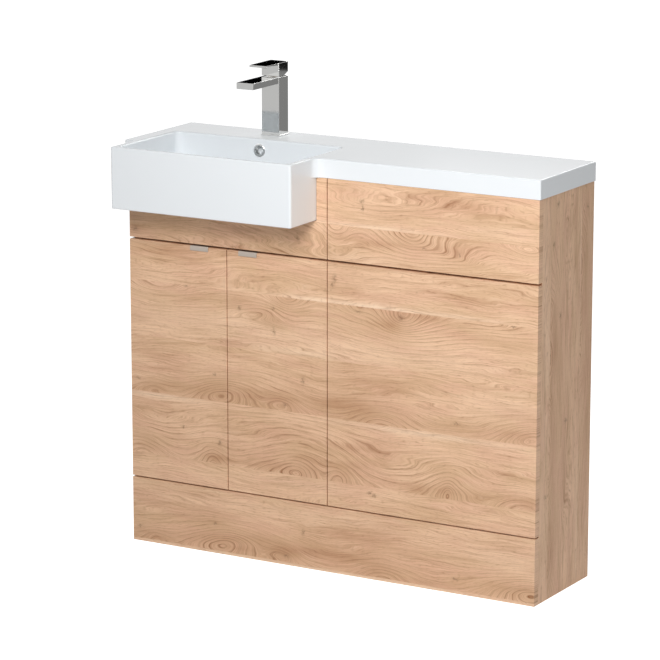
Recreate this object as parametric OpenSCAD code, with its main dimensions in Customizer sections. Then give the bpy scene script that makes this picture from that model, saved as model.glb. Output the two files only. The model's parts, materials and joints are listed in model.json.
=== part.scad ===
// Slim vanity unit: a two-door basin cupboard beside a closed toilet unit, under a
// one-piece moulded top with a projecting bowl and a square mixer tap.
// X runs along the front, +Y goes back to the wall and +Z up. The origin is on the
// floor, in the middle of the whole unit's plan.

/* [Cabinet] */
// Width of the basin unit
basin_unit_w = 500; // [480:5:600]
// Width of the toilet unit
wc_unit_w = 500; // [450:5:600]
// Depth of the cabinet, from the faces of the fronts to the wall
cabinet_d = 255; // [245:5:300]
// Height of the cabinet, under the top
cabinet_h = 864; // [850:1:900]
// Height of the plinth
plinth_h = 146; // [130:1:160]
// Height of the fascias over the doors and the panel
fascia_h = 174.8; // [165:0.1:190]
// Height of the rails that tie the sides together
rail_w = 80; // [70:1:85]
// Height of the shelf's upper face over the floor
shelf_z = 427; // [380:1:480]

/* [Boards and gaps] */
// Thickness of the cabinet's boards
board_t = 18; // [18:0.5:19]
// Thickness of the shelf
shelf_t = 16; // [15:1:18]
// Gap between fronts that stand side by side
front_gap = 2.4; // [2.4:0.1:3]
// Gap under the fascias
fascia_gap = 4.5; // [4:0.1:6]
// Gap over the plinth
plinth_gap = 3; // [2:0.1:4]
// Gap between the doors and the cabinet's edge
door_gap = 2; // [2:0.1:2.5]
// How far the basin unit's front rail reaches down behind the doors
rail_lap = 17; // [15:1:25]
// Clearance of the shelf at its ends
shelf_clear = 0.8; // [0.5:0.1:1]
// How far the shelf stays behind the cabinet's front edge
shelf_setback = 30; // [20:1:60]

/* [Hinges] */
// Distance of a hinge from the door's upper or lower edge
hinge_inset = 90; // [75:1:120]
// Radius of the cup in the door
cup_r = 17.5; // [17.5:0.1:18]
// Depth of the cup
cup_depth = 13; // [13:0.1:13.5]
// Distance of the cup's centre from the side's outer face
cup_x = 22.5; // [22.5:0.1:23]
// Thickness of the pressed hinge metal
hinge_t = 1.2; // [1:0.1:1.4]
// Width of the link between the arm's cheeks
link_w = 9; // [8:0.1:10]
// Thickness of the link
link_t = 2; // [1.8:0.1:2]
// Running clearance of pins in their bores
pin_clear = 0.05; // [0.03:0.01:0.08]

/* [Handles] */
// Width of a handle
handle_w = 46; // [30:1:80]
// Distance of the left handle's inner end from the middle of the doors' gap
left_handle_inset = 46; // [30:1:80]
// Distance of the right handle's inner end from the middle of the doors' gap
right_handle_inset = 30.6; // [30:0.2:80]
// Height of the lip that shows on the door's face
handle_lip = 9; // [7:0.5:12]
// Thickness of the handle's profile
handle_t = 1.2; // [1:0.1:1.4]

/* [Top] */
// Depth of the whole top over the bowl
top_d = 360; // [350:5:400]
// Thickness of the top's edge
top_edge_h = 41.5; // [38:0.5:50]
// Thickness of the moulded shell
shell_t = 16; // [12:1:20]
// Thickness of the rim that hangs down at the top's edge
rim_t = 12; // [10:0.5:14]
// Overhang of the top at both ends
top_over = 2.5; // [0:0.5:5]
// Overhang of the top in front of the fascias
top_nose = 1.6; // [0:0.1:5]
// Overhang of the short strip left of the bowl
left_nose = 12; // [5:1:20]
// Radius of the hollow corner where the top meets the bowl
top_fillet = 20; // [10:1:24]
// Distance of the bowl's right side from the line between the two units
bowl_right = 27.5; // [27.5:0.5:60]
// Height of the bowl, from its rim to its underside
bowl_h = 135.5; // [125:0.5:140]
// Distance of the bowl's left side from the cabinet's left edge
bowl_left = 22.5; // [20:0.5:23]
// Distance of the bowl's back wall from the cabinet wall line
bowl_back = 114; // [100:1:115]
// Thickness of the bowl's front rim
bowl_front_rim = 10; // [8:1:16]
// Thickness of the bowl's side rims
bowl_side_rim = 14; // [12:1:20]
// Depth of the bowl at its walls
bowl_depth = 115; // [100:1:118]
// Fall of the bowl's floor to the waste
bowl_fall = 5; // [3:0.5:6]
// Radius of the bowl's inner corners
bowl_corner_r = 14; // [8:1:30]
// Clearance of the bowl in the fascia
notch_clear = 1; // [0.5:0.1:2]

/* [Waste] */
// Radius of the waste's threaded tail
tail_r = 20.95; // [20.9:0.01:21]
// Distance of the waste from the bowl's back wall, inside
waste_back = 56; // [46:1:56]
// Length of the tail under the bowl's floor
tail_len = 92; // [80:1:120]
// Length of the tail's lower end that a trap goes on to
trap_len = 62; // [50:1:62]
// Bore radius of the tail
tail_bore = 18.5; // [17:0.1:19]
// Radius of the waste's flange
flange_r = 32.5; // [31:0.5:34]
// Radius of the plug
plug_r = 29; // [26:0.5:30]
// Travel of the plug
plug_travel = 8; // [6:0.5:10]
// Thickness of the plug
plug_t = 4; // [3:0.5:5]
// Radius of the overflow ring
overflow_r = 14.5; // [13:0.1:16]
// Depth of the overflow's centre under the rim
overflow_drop = 25.5; // [22:0.5:30]

/* [Tap] */
// Distance of the tap's axis from the wall
tap_back = 48; // [42:1:52]
// Width of the tap's body
tap_w = 44; // [40:1:48]
// Depth of the tap's body
tap_d = 39; // [38:1:44]
// Height of the tap's body
tap_h = 130; // [110:1:140]
// Thickness of the foot plate
tap_foot_t = 3; // [2:0.5:5]
// Overhang of the foot plate all round
tap_foot_over = 1.5; // [1:0.5:4]
// Reach of the spout in front of the body
spout_reach = 106; // [90:1:120]
// Thickness of the spout
spout_t = 14; // [14:1:18]
// Width of the spout and the lever
spout_w = 42; // [38:1:44]
// Gap between the body and the lever
lever_gap = 2; // [2:0.5:5]
// Height of the lever, with its plate
lever_h = 29; // [24:1:32]
// Thickness of the lever's plate
lever_t = 4.4; // [4:0.2:6]
// Reach of the lever in front of the body
lever_reach = 52; // [40:1:70]
// Depth of the slope under the lever's back
lever_slope_d = 17; // [17:0.5:19]
// Height of the slope under the lever's back
lever_slope_h = 7; // [6:0.5:9]
// Radius of the tap hole in the top
tap_hole_r = 17.5; // [17:0.1:18]

/* [Hidden] */
$fn = 48;

oak = "burlywood";
oak_side = "tan";
steel = "silver";
chrome = "gainsboro";
marble = "whitesmoke";
rubber = "dimgray";
nylon = "lightgray";

// Places of the main faces
total_w = basin_unit_w + wc_unit_w;
left_x = -total_w / 2;
split_x = left_x + basin_unit_w;
right_x = total_w / 2;
wall_y = top_d / 2;
front_y = wall_y - cabinet_d;
fronts_back_y = front_y + board_t;
basin_edge_y = fronts_back_y + door_gap;
rail_mid = board_t / 2;
top_z = cabinet_h + top_edge_h;
bowl_z = top_z - bowl_h;

// Levels and widths of the fronts
fascia_z = cabinet_h - fascia_h;
door_z0 = plinth_h + plinth_gap;
door_z1 = fascia_z - fascia_gap;
door_w = (basin_unit_w - 1.5 * front_gap) / 2;
left_door_x1 = left_x + door_w;
right_door_x1 = split_x - front_gap / 2;
right_door_x0 = right_door_x1 - door_w;
door_mid_x = (left_door_x1 + right_door_x0) / 2;
hinge_zs = [door_z0 + hinge_inset, door_z1 - hinge_inset];

// Levels of the rails
floor_z = door_z0 + 1;
floor_top = floor_z + board_t;
gap_rail_z = door_z1 - rail_lap;
high_rail_z = cabinet_h - rail_w;
wc_gap_rail_z = (door_z1 + fascia_z - rail_w) / 2;
wc_low_rail_z = floor_z;

// Fasteners between boards
dowel_r = 4;
dowel_len = 30;
dowel_in_side = 10;
cam_r = 7.5;
cam_h = 12.5;
cam_reach = 34;
bolt_r = 3;
bolt_in_side = 11;
fix_inset = 20;
floor_fix_inset = 35;
screw_r = 2;
screw_head_r = 3.8;
screw_head_h = 1.5;
screw_len = 13;

// One entry per rail end: side's inner face, direction into the rail, rail's middle,
// rail's lower edge, and the face that the cam is drilled from
front_rail_y = fronts_back_y + rail_mid;
gap_rail_y = basin_edge_y + rail_mid;
back_rail_y = wall_y - rail_mid;
basin_in0 = left_x + board_t;
basin_in1 = split_x - board_t;
wc_in0 = split_x + board_t;
wc_in1 = right_x - board_t;
basin_rails = [
  [gap_rail_y, gap_rail_z, 1],
  [back_rail_y, high_rail_z, -1],
  [back_rail_y, floor_top, -1]
];
wc_rails = [
  [front_rail_y, high_rail_z, 1],
  [front_rail_y, wc_gap_rail_z, 1],
  [front_rail_y, wc_low_rail_z, 1],
  [back_rail_y, high_rail_z, -1]
];
rail_ends = concat(
  [for (r = basin_rails) [basin_in0, 1, r[0], r[1], r[2]]],
  [for (r = basin_rails) [basin_in1, -1, r[0], r[1], r[2]]],
  [for (r = wc_rails) [wc_in0, 1, r[0], r[1], r[2]]],
  [for (r = wc_rails) [wc_in1, -1, r[0], r[1], r[2]]]
);
floor_ends = [[basin_in0, 1], [basin_in1, -1]];
floor_cam_y = basin_edge_y + floor_fix_inset;
floor_dowel_y = wall_y - floor_fix_inset;
floor_mid_z = floor_z + board_t / 2;

// Hinge geometry, from the side's outer face inwards and from the fronts' faces back
cup_wall = 0.7;
cup_flange_t = 1;
cup_screw_r = 1.8;
cup_screw_len = 11;
cup_pin = [10, 9];
link_bend = [20.2, 7];
arm_pin = [39, 23];
cup_pin_r = 1.25;
cup_eye_r = 2.6;
arm_pin_r = 1.5;
arm_eye_r = 2.8;
arm_tip_r = 3.2;
cheek_gap = 0.5;
cheek_z = link_w / 2 + cheek_gap;
lug_z0 = cheek_z;
lug_z1 = cheek_z + 1.5;
lug_x = cup_x - cup_r + 1.4;
lug_y = board_t - cup_depth + cup_wall / 2;
wing_half = 30;
wing_d = 15;
cup_screw_z = 24;
cup_screw_x = 9.5;
plate_half = 22;
plate_y0 = basin_edge_y - front_y + 27;
plate_y1 = plate_y0 + 20;
plate_t = 2;
plate_screw_z = 16;
block_y = [plate_y0 + 4, plate_y0 + 30];
block_top = 29;
arm_top = 42.3;
arm_rear = 32;
arm_end_y = 79;
arm_knee_y = 40;
arm_roof_y = 27;
arm_foot = [23, 50];
arm_neck = [34, 30];
arm_head_r = 3;

// Fixings of the fronts and of the cabinet
spacer_r = 7;
spacer_inset = 60;
stud_r = 4;
stud_head_r = 5;
stud_inset = 70;
stud_in_board = 9;
buffer_r = 4;
buffer_clear = 0.3;
buffer_inset = 9;
pin_r = 2.5;
pin_in_side = 9;
pin_out = 8;
pin_inset = 30;
bracket_w = 30;
bracket_leg = 40;
bracket_t = 2;
plinth_bracket_z = 60;
wall_bracket_z = high_rail_z - bracket_leg - 20;
wall_hole_r = 3.5;
wall_hole_x = 27;
join_r = 4;
join_head_r = 8;
join_head_h = 1.5;
join_front = 60;
join_back = 50;
join_low_z = 300;
join_high_z = 640;
join_places = [for (y = [basin_edge_y + join_front, wall_y - join_back],
  z = [join_low_z, join_high_z]) [y, z]];

// Bowl, waste and tap places
bowl_x0 = left_x + bowl_left;
bowl_x1 = split_x - bowl_right;
bowl_w = bowl_x1 - bowl_x0;
bowl_mid_x = (bowl_x0 + bowl_x1) / 2;
bowl_y0 = -top_d / 2;
bowl_in_x0 = bowl_x0 + bowl_side_rim;
bowl_in_x1 = bowl_x1 - bowl_side_rim;
bowl_in_y0 = bowl_y0 + bowl_front_rim;
bowl_in_y1 = wall_y - bowl_back;
bowl_out_y1 = bowl_in_y1 + 24;
bowl_floor_z = top_z - bowl_depth;
waste_y = bowl_in_y1 - waste_back;
waste_z = bowl_floor_z - bowl_fall;
recess_r = flange_r + 1;
recess_h = 2.5;
bowl_fall_r = bowl_w / 2;
floor_cove = 8;
seal_t = 1;
seat_z = waste_z - recess_h;
waste_hole_r = tail_r + 1.6;
tail_z = seat_z + seal_t - tail_len;
relief_h = 2;
relief_r = tail_r - 0.8;
shank_z = tail_z + trap_len + relief_h;
shank_r = tail_r + 0.25;
nut_h = 8;
under_seal_t = 3;
bridge_z = tail_z + 0.65 * trap_len;
bridge_t = 4;
hub_h = 14;
plug_stem_r = 4;
plug_seal_r = plug_r - 4;
plug_seal_in = 1.5;
plug_seal_out = 0.5;
plug_z = seat_z + seal_t + 2 + plug_travel + plug_seal_out + 0.3;
overflow_z = top_z - overflow_drop;
overflow_bore = 11;
channel_w = 24;
channel_d = 8;
channel_y = bowl_in_y1 + 9;
channel_h = 5;
channel_z = bowl_z + 4;
ledge_z = top_z - shell_t;

tap_y = wall_y - tap_back;
tap_front = -tap_d / 2;
tap_rear = tap_d / 2;
chamber_r = 15.1;
chamber_z = 70;
nut_ring_h = 4;
collar_h = 2;
cartridge_r = 14.2;
rotor_r = 11.12;
rotor_seat_r = 11.2;
rotor_foot = 22;
pivot_drop = 5;
stem_w = 8;
stem_d = 7;
stem_up = 18;
slot_w = 8.6;
slot_d = 16;
spout_bore = 4;
spout_axis_z = tap_h - 7.5;
aerator_r = 9;
aerator_h = 4.5;
aerator_inset = 13;
inlet_r = 4.6;
inlet_depth = 14;
inlet_x = 8;
inlet_y = 5;
gallery_r = 4.2;
tap_stud_r = 4;
tap_stud_y = -11.5;
tap_stud_len = 55;
tap_stud_in = 12;
tap_nut_h = 8;
shoe_t = 2;
shoe_rubber_t = 3;
lever_screw_r = 2.5;
tail_slot_w = 2 * tap_hole_r - 5;
lever_screw_z = 12;

// A box between two corners
module box(a, b) {
  translate(a) cube([b[0] - a[0], b[1] - a[1], b[2] - a[2]]);
}

// A rod along one axis from a point; negative lengths go the other way
module rod_x(p, len, r) {
  translate(p) rotate([0, len < 0 ? -90 : 90, 0]) cylinder(h = abs(len), r = r);
}
module rod_y(p, len, r) {
  translate(p) rotate([len < 0 ? 90 : -90, 0, 0]) cylinder(h = abs(len), r = r);
}

// A rectangle with round corners, from exact arcs
module round_rect(x0, y0, x1, y1, r) {
  translate([x0 + r, y0]) square([x1 - x0 - 2 * r, y1 - y0]);
  translate([x0, y0 + r]) square([x1 - x0, y1 - y0 - 2 * r]);
  for (x = [x0 + r, x1 - r], y = [y0 + r, y1 - r]) translate([x, y]) circle(r = r);
}

// Holes for the dowels, cam bolts and cams at one rail end
module rail_end_holes(e) {
  low_z = e[3] + fix_inset;
  high_z = e[3] + rail_w - fix_inset;
  rod_x([e[0] - e[1] * dowel_in_side, e[2], low_z], e[1] * dowel_len, dowel_r);
  rod_x([e[0] - e[1] * bolt_in_side, e[2], high_z], e[1] * (bolt_in_side + cam_reach), bolt_r);
  cam_at(e);
}

module cam_at(e) {
  high_z = e[3] + rail_w - fix_inset;
  rod_y([e[0] + e[1] * cam_reach, e[2] + e[4] * rail_mid, high_z], -e[4] * cam_h, cam_r);
}

module floor_end_holes(e) {
  rod_x([e[0] - e[1] * dowel_in_side, floor_dowel_y, floor_mid_z], e[1] * dowel_len, dowel_r);
  rod_x([e[0] - e[1] * bolt_in_side, floor_cam_y, floor_mid_z],
    e[1] * (bolt_in_side + cam_reach), bolt_r);
  floor_cam_at(e);
}

module floor_cam_at(e) {
  translate([e[0] + e[1] * cam_reach, floor_cam_y, floor_z]) cylinder(h = cam_h, r = cam_r);
}

// All the holes that a side's inner face takes
module side_fixing_holes(face_x) {
  for (e = rail_ends) if (abs(e[0] - face_x) < 1) rail_end_holes(e);
}

// A rail between two sides, with its end fixings cut
module rail(x0, x1, r) {
  difference() {
    box([x0, r[0] - rail_mid, r[1]], [x1, r[0] + rail_mid, r[1] + rail_w]);
    for (e = rail_ends)
      if ((e[0] == x0 || e[0] == x1) && e[2] == r[0] && e[3] == r[1]) rail_end_holes(e);
  }
}

// Puts a hinge part at the left or the right door's hinge line
module at_hinge(side, z) {
  if (side == "left") translate([left_x, front_y, z]) children();
  if (side == "right") translate([split_x, front_y, z]) mirror([1, 0, 0]) children();
}

module hinge_plate_holes() {
  for (dz = [-plate_screw_z, plate_screw_z])
    rod_x([board_t, (plate_y0 + plate_y1) / 2, dz], -screw_len, screw_r);
}

module shelf_pin_holes(x, dir) {
  for (y = pin_ys) rod_x([x, y, shelf_z - shelf_t - pin_r], -dir * pin_in_side, pin_r);
}
pin_ys = [basin_edge_y + shelf_setback + pin_inset, wall_y - board_t - pin_inset];

module join_holes() {
  for (p = join_places) rod_x([split_x - board_t, p[0], p[1]], 2 * board_t, join_r);
}

module bracket_screw_holes(x, dir) {
  rod_x([x, fronts_back_y + bracket_leg - 10, plinth_bracket_z], -dir * screw_len, screw_r);
  for (dz = [8, bracket_w - 8])
    rod_x([x, wall_y - bracket_leg + 10, wall_bracket_z + dz], -dir * screw_len, screw_r);
}

module basin_left_side() {
  color(oak_side) difference() {
    box([left_x, basin_edge_y, 0], [left_x + board_t, wall_y, cabinet_h]);
    side_fixing_holes(basin_in0);
    floor_end_holes(floor_ends[0]);
    for (z = hinge_zs) at_hinge("left", z) hinge_plate_holes();
    shelf_pin_holes(basin_in0, 1);
    bracket_screw_holes(basin_in0, 1);
  }
}

module basin_right_side() {
  color(oak_side) difference() {
    box([split_x - board_t, basin_edge_y, 0], [split_x, wall_y, cabinet_h]);
    side_fixing_holes(basin_in1);
    floor_end_holes(floor_ends[1]);
    for (z = hinge_zs) at_hinge("right", z) hinge_plate_holes();
    shelf_pin_holes(basin_in1, -1);
    bracket_screw_holes(basin_in1, -1);
    join_holes();
  }
}

module wc_left_side() {
  color(oak_side) difference() {
    box([split_x, fronts_back_y, 0], [split_x + board_t, wall_y, cabinet_h]);
    side_fixing_holes(wc_in0);
    bracket_screw_holes(wc_in0, 1);
    join_holes();
  }
}

module wc_right_side() {
  color(oak_side) difference() {
    box([right_x - board_t, fronts_back_y, 0], [right_x, wall_y, cabinet_h]);
    side_fixing_holes(wc_in1);
    bracket_screw_holes(wc_in1, -1);
  }
}

module basin_floor() {
  color(oak_side) difference() {
    box([basin_in0, basin_edge_y, floor_z], [basin_in1, wall_y, floor_top]);
    for (e = floor_ends) floor_end_holes(e);
  }
}

// Fascia screws run through the basin unit's front rail
spacer_xs = [basin_in0 + spacer_inset, door_mid_x - 0.7 * spacer_inset,
  door_mid_x + 0.7 * spacer_inset, basin_in1 - spacer_inset];
spacer_z = (fascia_z + gap_rail_z + rail_w) / 2;

module basin_gap_rail() {
  color(oak_side) difference() {
    rail(basin_in0, basin_in1, basin_rails[0]);
    for (x = spacer_xs) rod_y([x, basin_edge_y, spacer_z], board_t, screw_r);
  }
}
module basin_top_rail() { color(oak_side) rail(basin_in0, basin_in1, basin_rails[1]); }
module basin_low_rail() { color(oak_side) rail(basin_in0, basin_in1, basin_rails[2]); }

module shelf() {
  color(oak_side) box([basin_in0 + shelf_clear, basin_edge_y + shelf_setback, shelf_z - shelf_t],
    [basin_in1 - shelf_clear, wall_y - board_t, shelf_z]);
}

module shelf_pins() {
  color(steel) for (s = [[basin_in0, 1], [basin_in1, -1]], y = pin_ys)
    rod_x([s[0] - s[1] * pin_in_side, y, shelf_z - shelf_t - pin_r],
      s[1] * (pin_in_side + pin_out), pin_r);
}

module basin_fascia() {
  color(oak) difference() {
    box([left_x, front_y, fascia_z], [split_x - front_gap / 2, fronts_back_y, cabinet_h]);
    box([bowl_x0 - notch_clear, front_y - 1, bowl_z - notch_clear],
      [bowl_x1 + notch_clear, fronts_back_y + 1, cabinet_h + 1]);
    for (x = spacer_xs) rod_y([x, fronts_back_y, spacer_z], -screw_len, screw_r);
  }
}

module fascia_spacers() {
  color(nylon) for (x = spacer_xs) difference() {
    rod_y([x, fronts_back_y, spacer_z], door_gap, spacer_r);
    rod_y([x, fronts_back_y - 1, spacer_z], door_gap + 2, screw_r);
  }
}

module fascia_screws() {
  rail_back_y = basin_edge_y + board_t;
  for (x = spacer_xs) {
    rod_y([x, rail_back_y, spacer_z], -(board_t + door_gap + screw_len), screw_r);
    rod_y([x, rail_back_y, spacer_z], screw_head_h, screw_head_r);
  }
}

// The handle hooks over the door's upper edge and is screwed on from behind
handle_left_x = door_mid_x - left_handle_inset - handle_w;
handle_right_x = door_mid_x + right_handle_inset;
handle_back_h = 13;
handle_proud = 2;
handle_screw_in = 11;

module handle(x) {
  top = door_z1 + handle_t;
  back = fronts_back_y + handle_t;
  color(steel) difference() {
    translate([x, 0, 0]) rotate([90, 0, 90]) linear_extrude(handle_w) polygon([
      [front_y, door_z1],
      [front_y, door_z1 - handle_lip - 1],
      [front_y - handle_proud + 0.6, door_z1 - handle_lip - 1],
      [front_y - handle_proud, door_z1 - handle_lip - 0.4],
      [front_y - handle_proud, door_z1 - 2],
      [front_y - 0.2, top],
      [back, top],
      [back, top - handle_back_h],
      [fronts_back_y, top - handle_back_h],
      [fronts_back_y, door_z1]
    ]);
    handle_screws(x);
  }
}

module handle_screws(x) {
  for (dx = [handle_screw_in, handle_w - handle_screw_in])
    translate([x + dx, fronts_back_y + handle_t, door_z1 - 7]) rotate([90, 0, 0]) {
      cylinder(h = 1.8, r1 = 3.2, r2 = 1.4);
      cylinder(h = 12, r = 1.4);
    }
}

module left_handle() { handle(handle_left_x); }
module right_handle() { handle(handle_right_x); }

module cup_screw_places(side) {
  for (z = hinge_zs, dz = [-cup_screw_z, cup_screw_z]) at_hinge(side, z)
    translate([cup_x + cup_screw_x, board_t, dz]) rotate([-90, 0, 0]) children();
}

module door(side, x0, x1, handle_x) {
  color(oak) difference() {
    box([x0, front_y, door_z0], [x1, fronts_back_y, door_z1]);
    for (z = hinge_zs) at_hinge(side, z)
      rod_y([cup_x, board_t, 0], -cup_depth, cup_r);
    cup_screw_places(side) translate([0, 0, -cup_screw_len])
      cylinder(h = cup_screw_len, r = cup_screw_r);
    handle_screws(handle_x);
  }
}
module left_door() { door("left", left_x, left_door_x1, handle_left_x); }
module right_door() { door("right", right_door_x0, right_door_x1, handle_right_x); }

module door_fasteners(side, handle_x) {
  color(steel) {
    cup_screw_places(side) {
      translate([0, 0, -cup_screw_len])
        cylinder(h = cup_screw_len + cup_flange_t, r = cup_screw_r);
      translate([0, 0, cup_flange_t]) cylinder(h = screw_head_h, r = 3.4);
    }
    handle_screws(handle_x);
    for (z = hinge_zs) at_hinge(side, z) cup_pin_rod();
  }
}

module cup_pin_rod() {
  translate([cup_pin[0], cup_pin[1], -lug_z1]) cylinder(h = 2 * lug_z1, r = cup_pin_r);
}
module left_door_fasteners() { door_fasteners("left", handle_left_x); }
module right_door_fasteners() { door_fasteners("right", handle_right_x); }

module door_buffers(x) {
  color("white") for (z = [door_z0 + buffer_inset, door_z1 - buffer_inset])
    rod_y([x, fronts_back_y, z], door_gap - buffer_clear, buffer_r);
}
module left_door_buffers() { door_buffers(left_door_x1 - buffer_inset); }
module right_door_buffers() { door_buffers(right_door_x0 + buffer_inset); }

// A cup is pressed from sheet, with two screw wings and two lugs for the link's pin
module hinge_cup() {
  difference() {
    union() {
      rod_y([cup_x, board_t, 0], -cup_depth, cup_r);
      box([cup_x + 2, board_t, -wing_half], [cup_x + 2 + wing_d, board_t + cup_flange_t, wing_half]);
      rod_y([cup_x, board_t, 0], cup_flange_t, cup_r);
    }
    rod_y([cup_x, board_t + cup_flange_t + 1, 0], -(cup_depth - cup_wall + cup_flange_t + 1),
      cup_r - cup_wall);
    box([0, board_t, -wing_half], [cup_pin[0], board_t + cup_flange_t + 1, wing_half]);
    for (dz = [-cup_screw_z, cup_screw_z])
      rod_y([cup_x + cup_screw_x, board_t - 1, dz], cup_flange_t + 2, cup_screw_r);
  }
  for (z = [-lug_z1, lug_z0]) translate([0, 0, z]) linear_extrude(lug_z1 - lug_z0) difference() {
    union() {
      translate([lug_x, lug_y]) square([cup_pin[0] + cup_eye_r - lug_x, cup_pin[1] - lug_y]);
      translate(cup_pin) circle(r = cup_eye_r);
    }
    translate(cup_pin) circle(r = cup_pin_r);
  }
}

module hinge_cups(side) {
  color(steel) for (z = hinge_zs) at_hinge(side, z) hinge_cup();
}
module left_hinge_cups() { hinge_cups("left"); }
module right_hinge_cups() { hinge_cups("right"); }

// A straight bar of the link between two points, in plan
module link_bar(a, b) {
  d = b - a;
  translate(a) rotate(atan2(d[1], d[0])) translate([0, -link_t / 2]) square([norm(d), link_t]);
}

module hinge_link() {
  difference() {
    translate([0, 0, -link_w / 2]) linear_extrude(link_w) {
      link_bar(cup_pin, link_bend);
      link_bar(link_bend, arm_pin);
      translate(link_bend) circle(r = link_t / 2);
      translate(cup_pin) circle(r = cup_eye_r);
      translate(arm_pin) circle(r = arm_eye_r);
    }
    translate([cup_pin[0], cup_pin[1], -link_w]) cylinder(h = 2 * link_w, r = cup_pin_r + pin_clear);
    translate([arm_pin[0], arm_pin[1], -link_w]) cylinder(h = 2 * link_w, r = arm_pin_r + pin_clear);
  }
}
module hinge_links(side) {
  color(steel) for (z = hinge_zs) at_hinge(side, z) hinge_link();
}
module left_hinge_links() { hinge_links("left"); }
module right_hinge_links() { hinge_links("right"); }

// The arm is a channel: two cheeks and a roof, over the mounting block
module hinge_arm() {
  roof_rear = arm_rear - hinge_t;
  difference() {
    union() {
      for (z = [-cheek_z - hinge_t, cheek_z]) translate([0, 0, z]) linear_extrude(hinge_t) {
        polygon([
          [arm_pin[0] - arm_tip_r, arm_pin[1]],
          [arm_top, arm_pin[1]],
          [arm_top, arm_knee_y],
          [arm_rear, arm_end_y],
          [arm_foot[0], arm_end_y],
          arm_foot,
          arm_neck
        ]);
        translate(arm_pin) circle(r = arm_tip_r);
      }
      translate([0, 0, -cheek_z - hinge_t]) linear_extrude(2 * (cheek_z + hinge_t)) polygon([
        [arm_top - hinge_t, arm_roof_y],
        [arm_top, arm_roof_y],
        [arm_top, arm_knee_y],
        [arm_rear, arm_end_y],
        [roof_rear, arm_end_y],
        [arm_top - hinge_t, arm_knee_y]
      ]);
    }
    translate([arm_pin[0], arm_pin[1], -2 * link_w]) cylinder(h = 4 * link_w, r = arm_pin_r);
    rod_x([block_top - 1, arm_screw_y, 0], arm_top - block_top + 2, screw_r);
  }
}
arm_screw_y = block_y[1] - 7;
arm_screw_top = arm_top - (arm_top - arm_rear) * (arm_screw_y - arm_head_r - arm_knee_y)
  / (arm_end_y - arm_knee_y) + 0.1;

module hinge_arms() {
  color(steel) for (side = ["left", "right"], z = hinge_zs) at_hinge(side, z) hinge_arm();
}

module hinge_arm_pins() {
  for (side = ["left", "right"], z = hinge_zs) at_hinge(side, z)
    translate([arm_pin[0], arm_pin[1], -cheek_z - hinge_t])
      cylinder(h = 2 * (cheek_z + hinge_t), r = arm_pin_r);
}

module hinge_plates() {
  color(steel) for (side = ["left", "right"], z = hinge_zs) at_hinge(side, z) difference() {
    union() {
      box([board_t, plate_y0, -plate_half], [board_t + plate_t, plate_y1, plate_half]);
      box([board_t, block_y[0], -cheek_z], [block_top, block_y[1], cheek_z]);
    }
    for (dz = [-plate_screw_z, plate_screw_z])
      rod_x([board_t - 1, (plate_y0 + plate_y1) / 2, dz], plate_t + 2, screw_r);
    rod_x([board_t + 1, arm_screw_y, 0], block_top, screw_r);
  }
}

module hinge_screws() {
  for (side = ["left", "right"], z = hinge_zs) at_hinge(side, z) {
    for (dz = [-plate_screw_z, plate_screw_z]) {
      plate_mid = (plate_y0 + plate_y1) / 2;
      rod_x([board_t + plate_t, plate_mid, dz], -plate_t - screw_len, screw_r);
      rod_x([board_t + plate_t, plate_mid, dz], screw_head_h, screw_head_r);
    }
    rod_x([board_t + 1, arm_screw_y, 0], arm_screw_top - board_t - 1, screw_r);
    rod_x([arm_screw_top, arm_screw_y, 0], screw_head_h, arm_head_r);
  }
}

// Push-in studs hold the closed fronts to the toilet unit's rails
stud_xs = [wc_in0 + stud_inset, wc_in1 - stud_inset];
stud_zs = [high_rail_z + fix_inset, fascia_z + fix_inset, door_z1 - fix_inset,
  wc_low_rail_z + rail_w / 2];

module panel_stud_shapes() {
  for (x = stud_xs, z = stud_zs) {
    rod_y([x, fronts_back_y, z], -stud_in_board, stud_head_r);
    rod_y([x, fronts_back_y, z], board_t - 2, stud_r);
  }
}
module panel_studs() { color(nylon) panel_stud_shapes(); }

module wc_rail(r) {
  color(oak_side) difference() {
    rail(wc_in0, wc_in1, r);
    panel_stud_shapes();
  }
}
module wc_front_rail() { wc_rail(wc_rails[0]); }
module wc_gap_rail() { wc_rail(wc_rails[1]); }
module wc_low_rail() { wc_rail(wc_rails[2]); }
module wc_back_rail() { color(oak_side) rail(wc_in0, wc_in1, wc_rails[3]); }

module wc_front(z0, z1) {
  color(oak) difference() {
    box([split_x + front_gap / 2, front_y, z0], [right_x, fronts_back_y, z1]);
    panel_stud_shapes();
  }
}
module wc_fascia() { wc_front(fascia_z, cabinet_h); }
module wc_panel() { wc_front(door_z0, door_z1); }

// Brackets stand in the corners beside these inner faces
bracket_corners = [[basin_in0, 1], [wc_in0, 1], [wc_in1, -1]];
wall_corners = [[basin_in0, 1], [basin_in1, -1], [wc_in0, 1], [wc_in1, -1]];

module plinth() {
  color(oak) difference() {
    box([left_x, front_y, 0], [right_x, fronts_back_y, plinth_h]);
    for (c = bracket_corners)
      rod_y([c[0] + c[1] * (bracket_leg - 10), fronts_back_y, plinth_bracket_z], -screw_len, screw_r);
  }
}

module angle(x, dir, y, away, z) {
  x1 = x + dir * bracket_leg;
  leg = x + dir * bracket_t;
  y1 = y + away * bracket_leg;
  wing = y + away * bracket_t;
  box([min(x, x1), min(y, wing), z], [max(x, x1), max(y, wing), z + bracket_w]);
  box([min(x, leg), min(y, y1), z], [max(x, leg), max(y, y1), z + bracket_w]);
}

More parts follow.
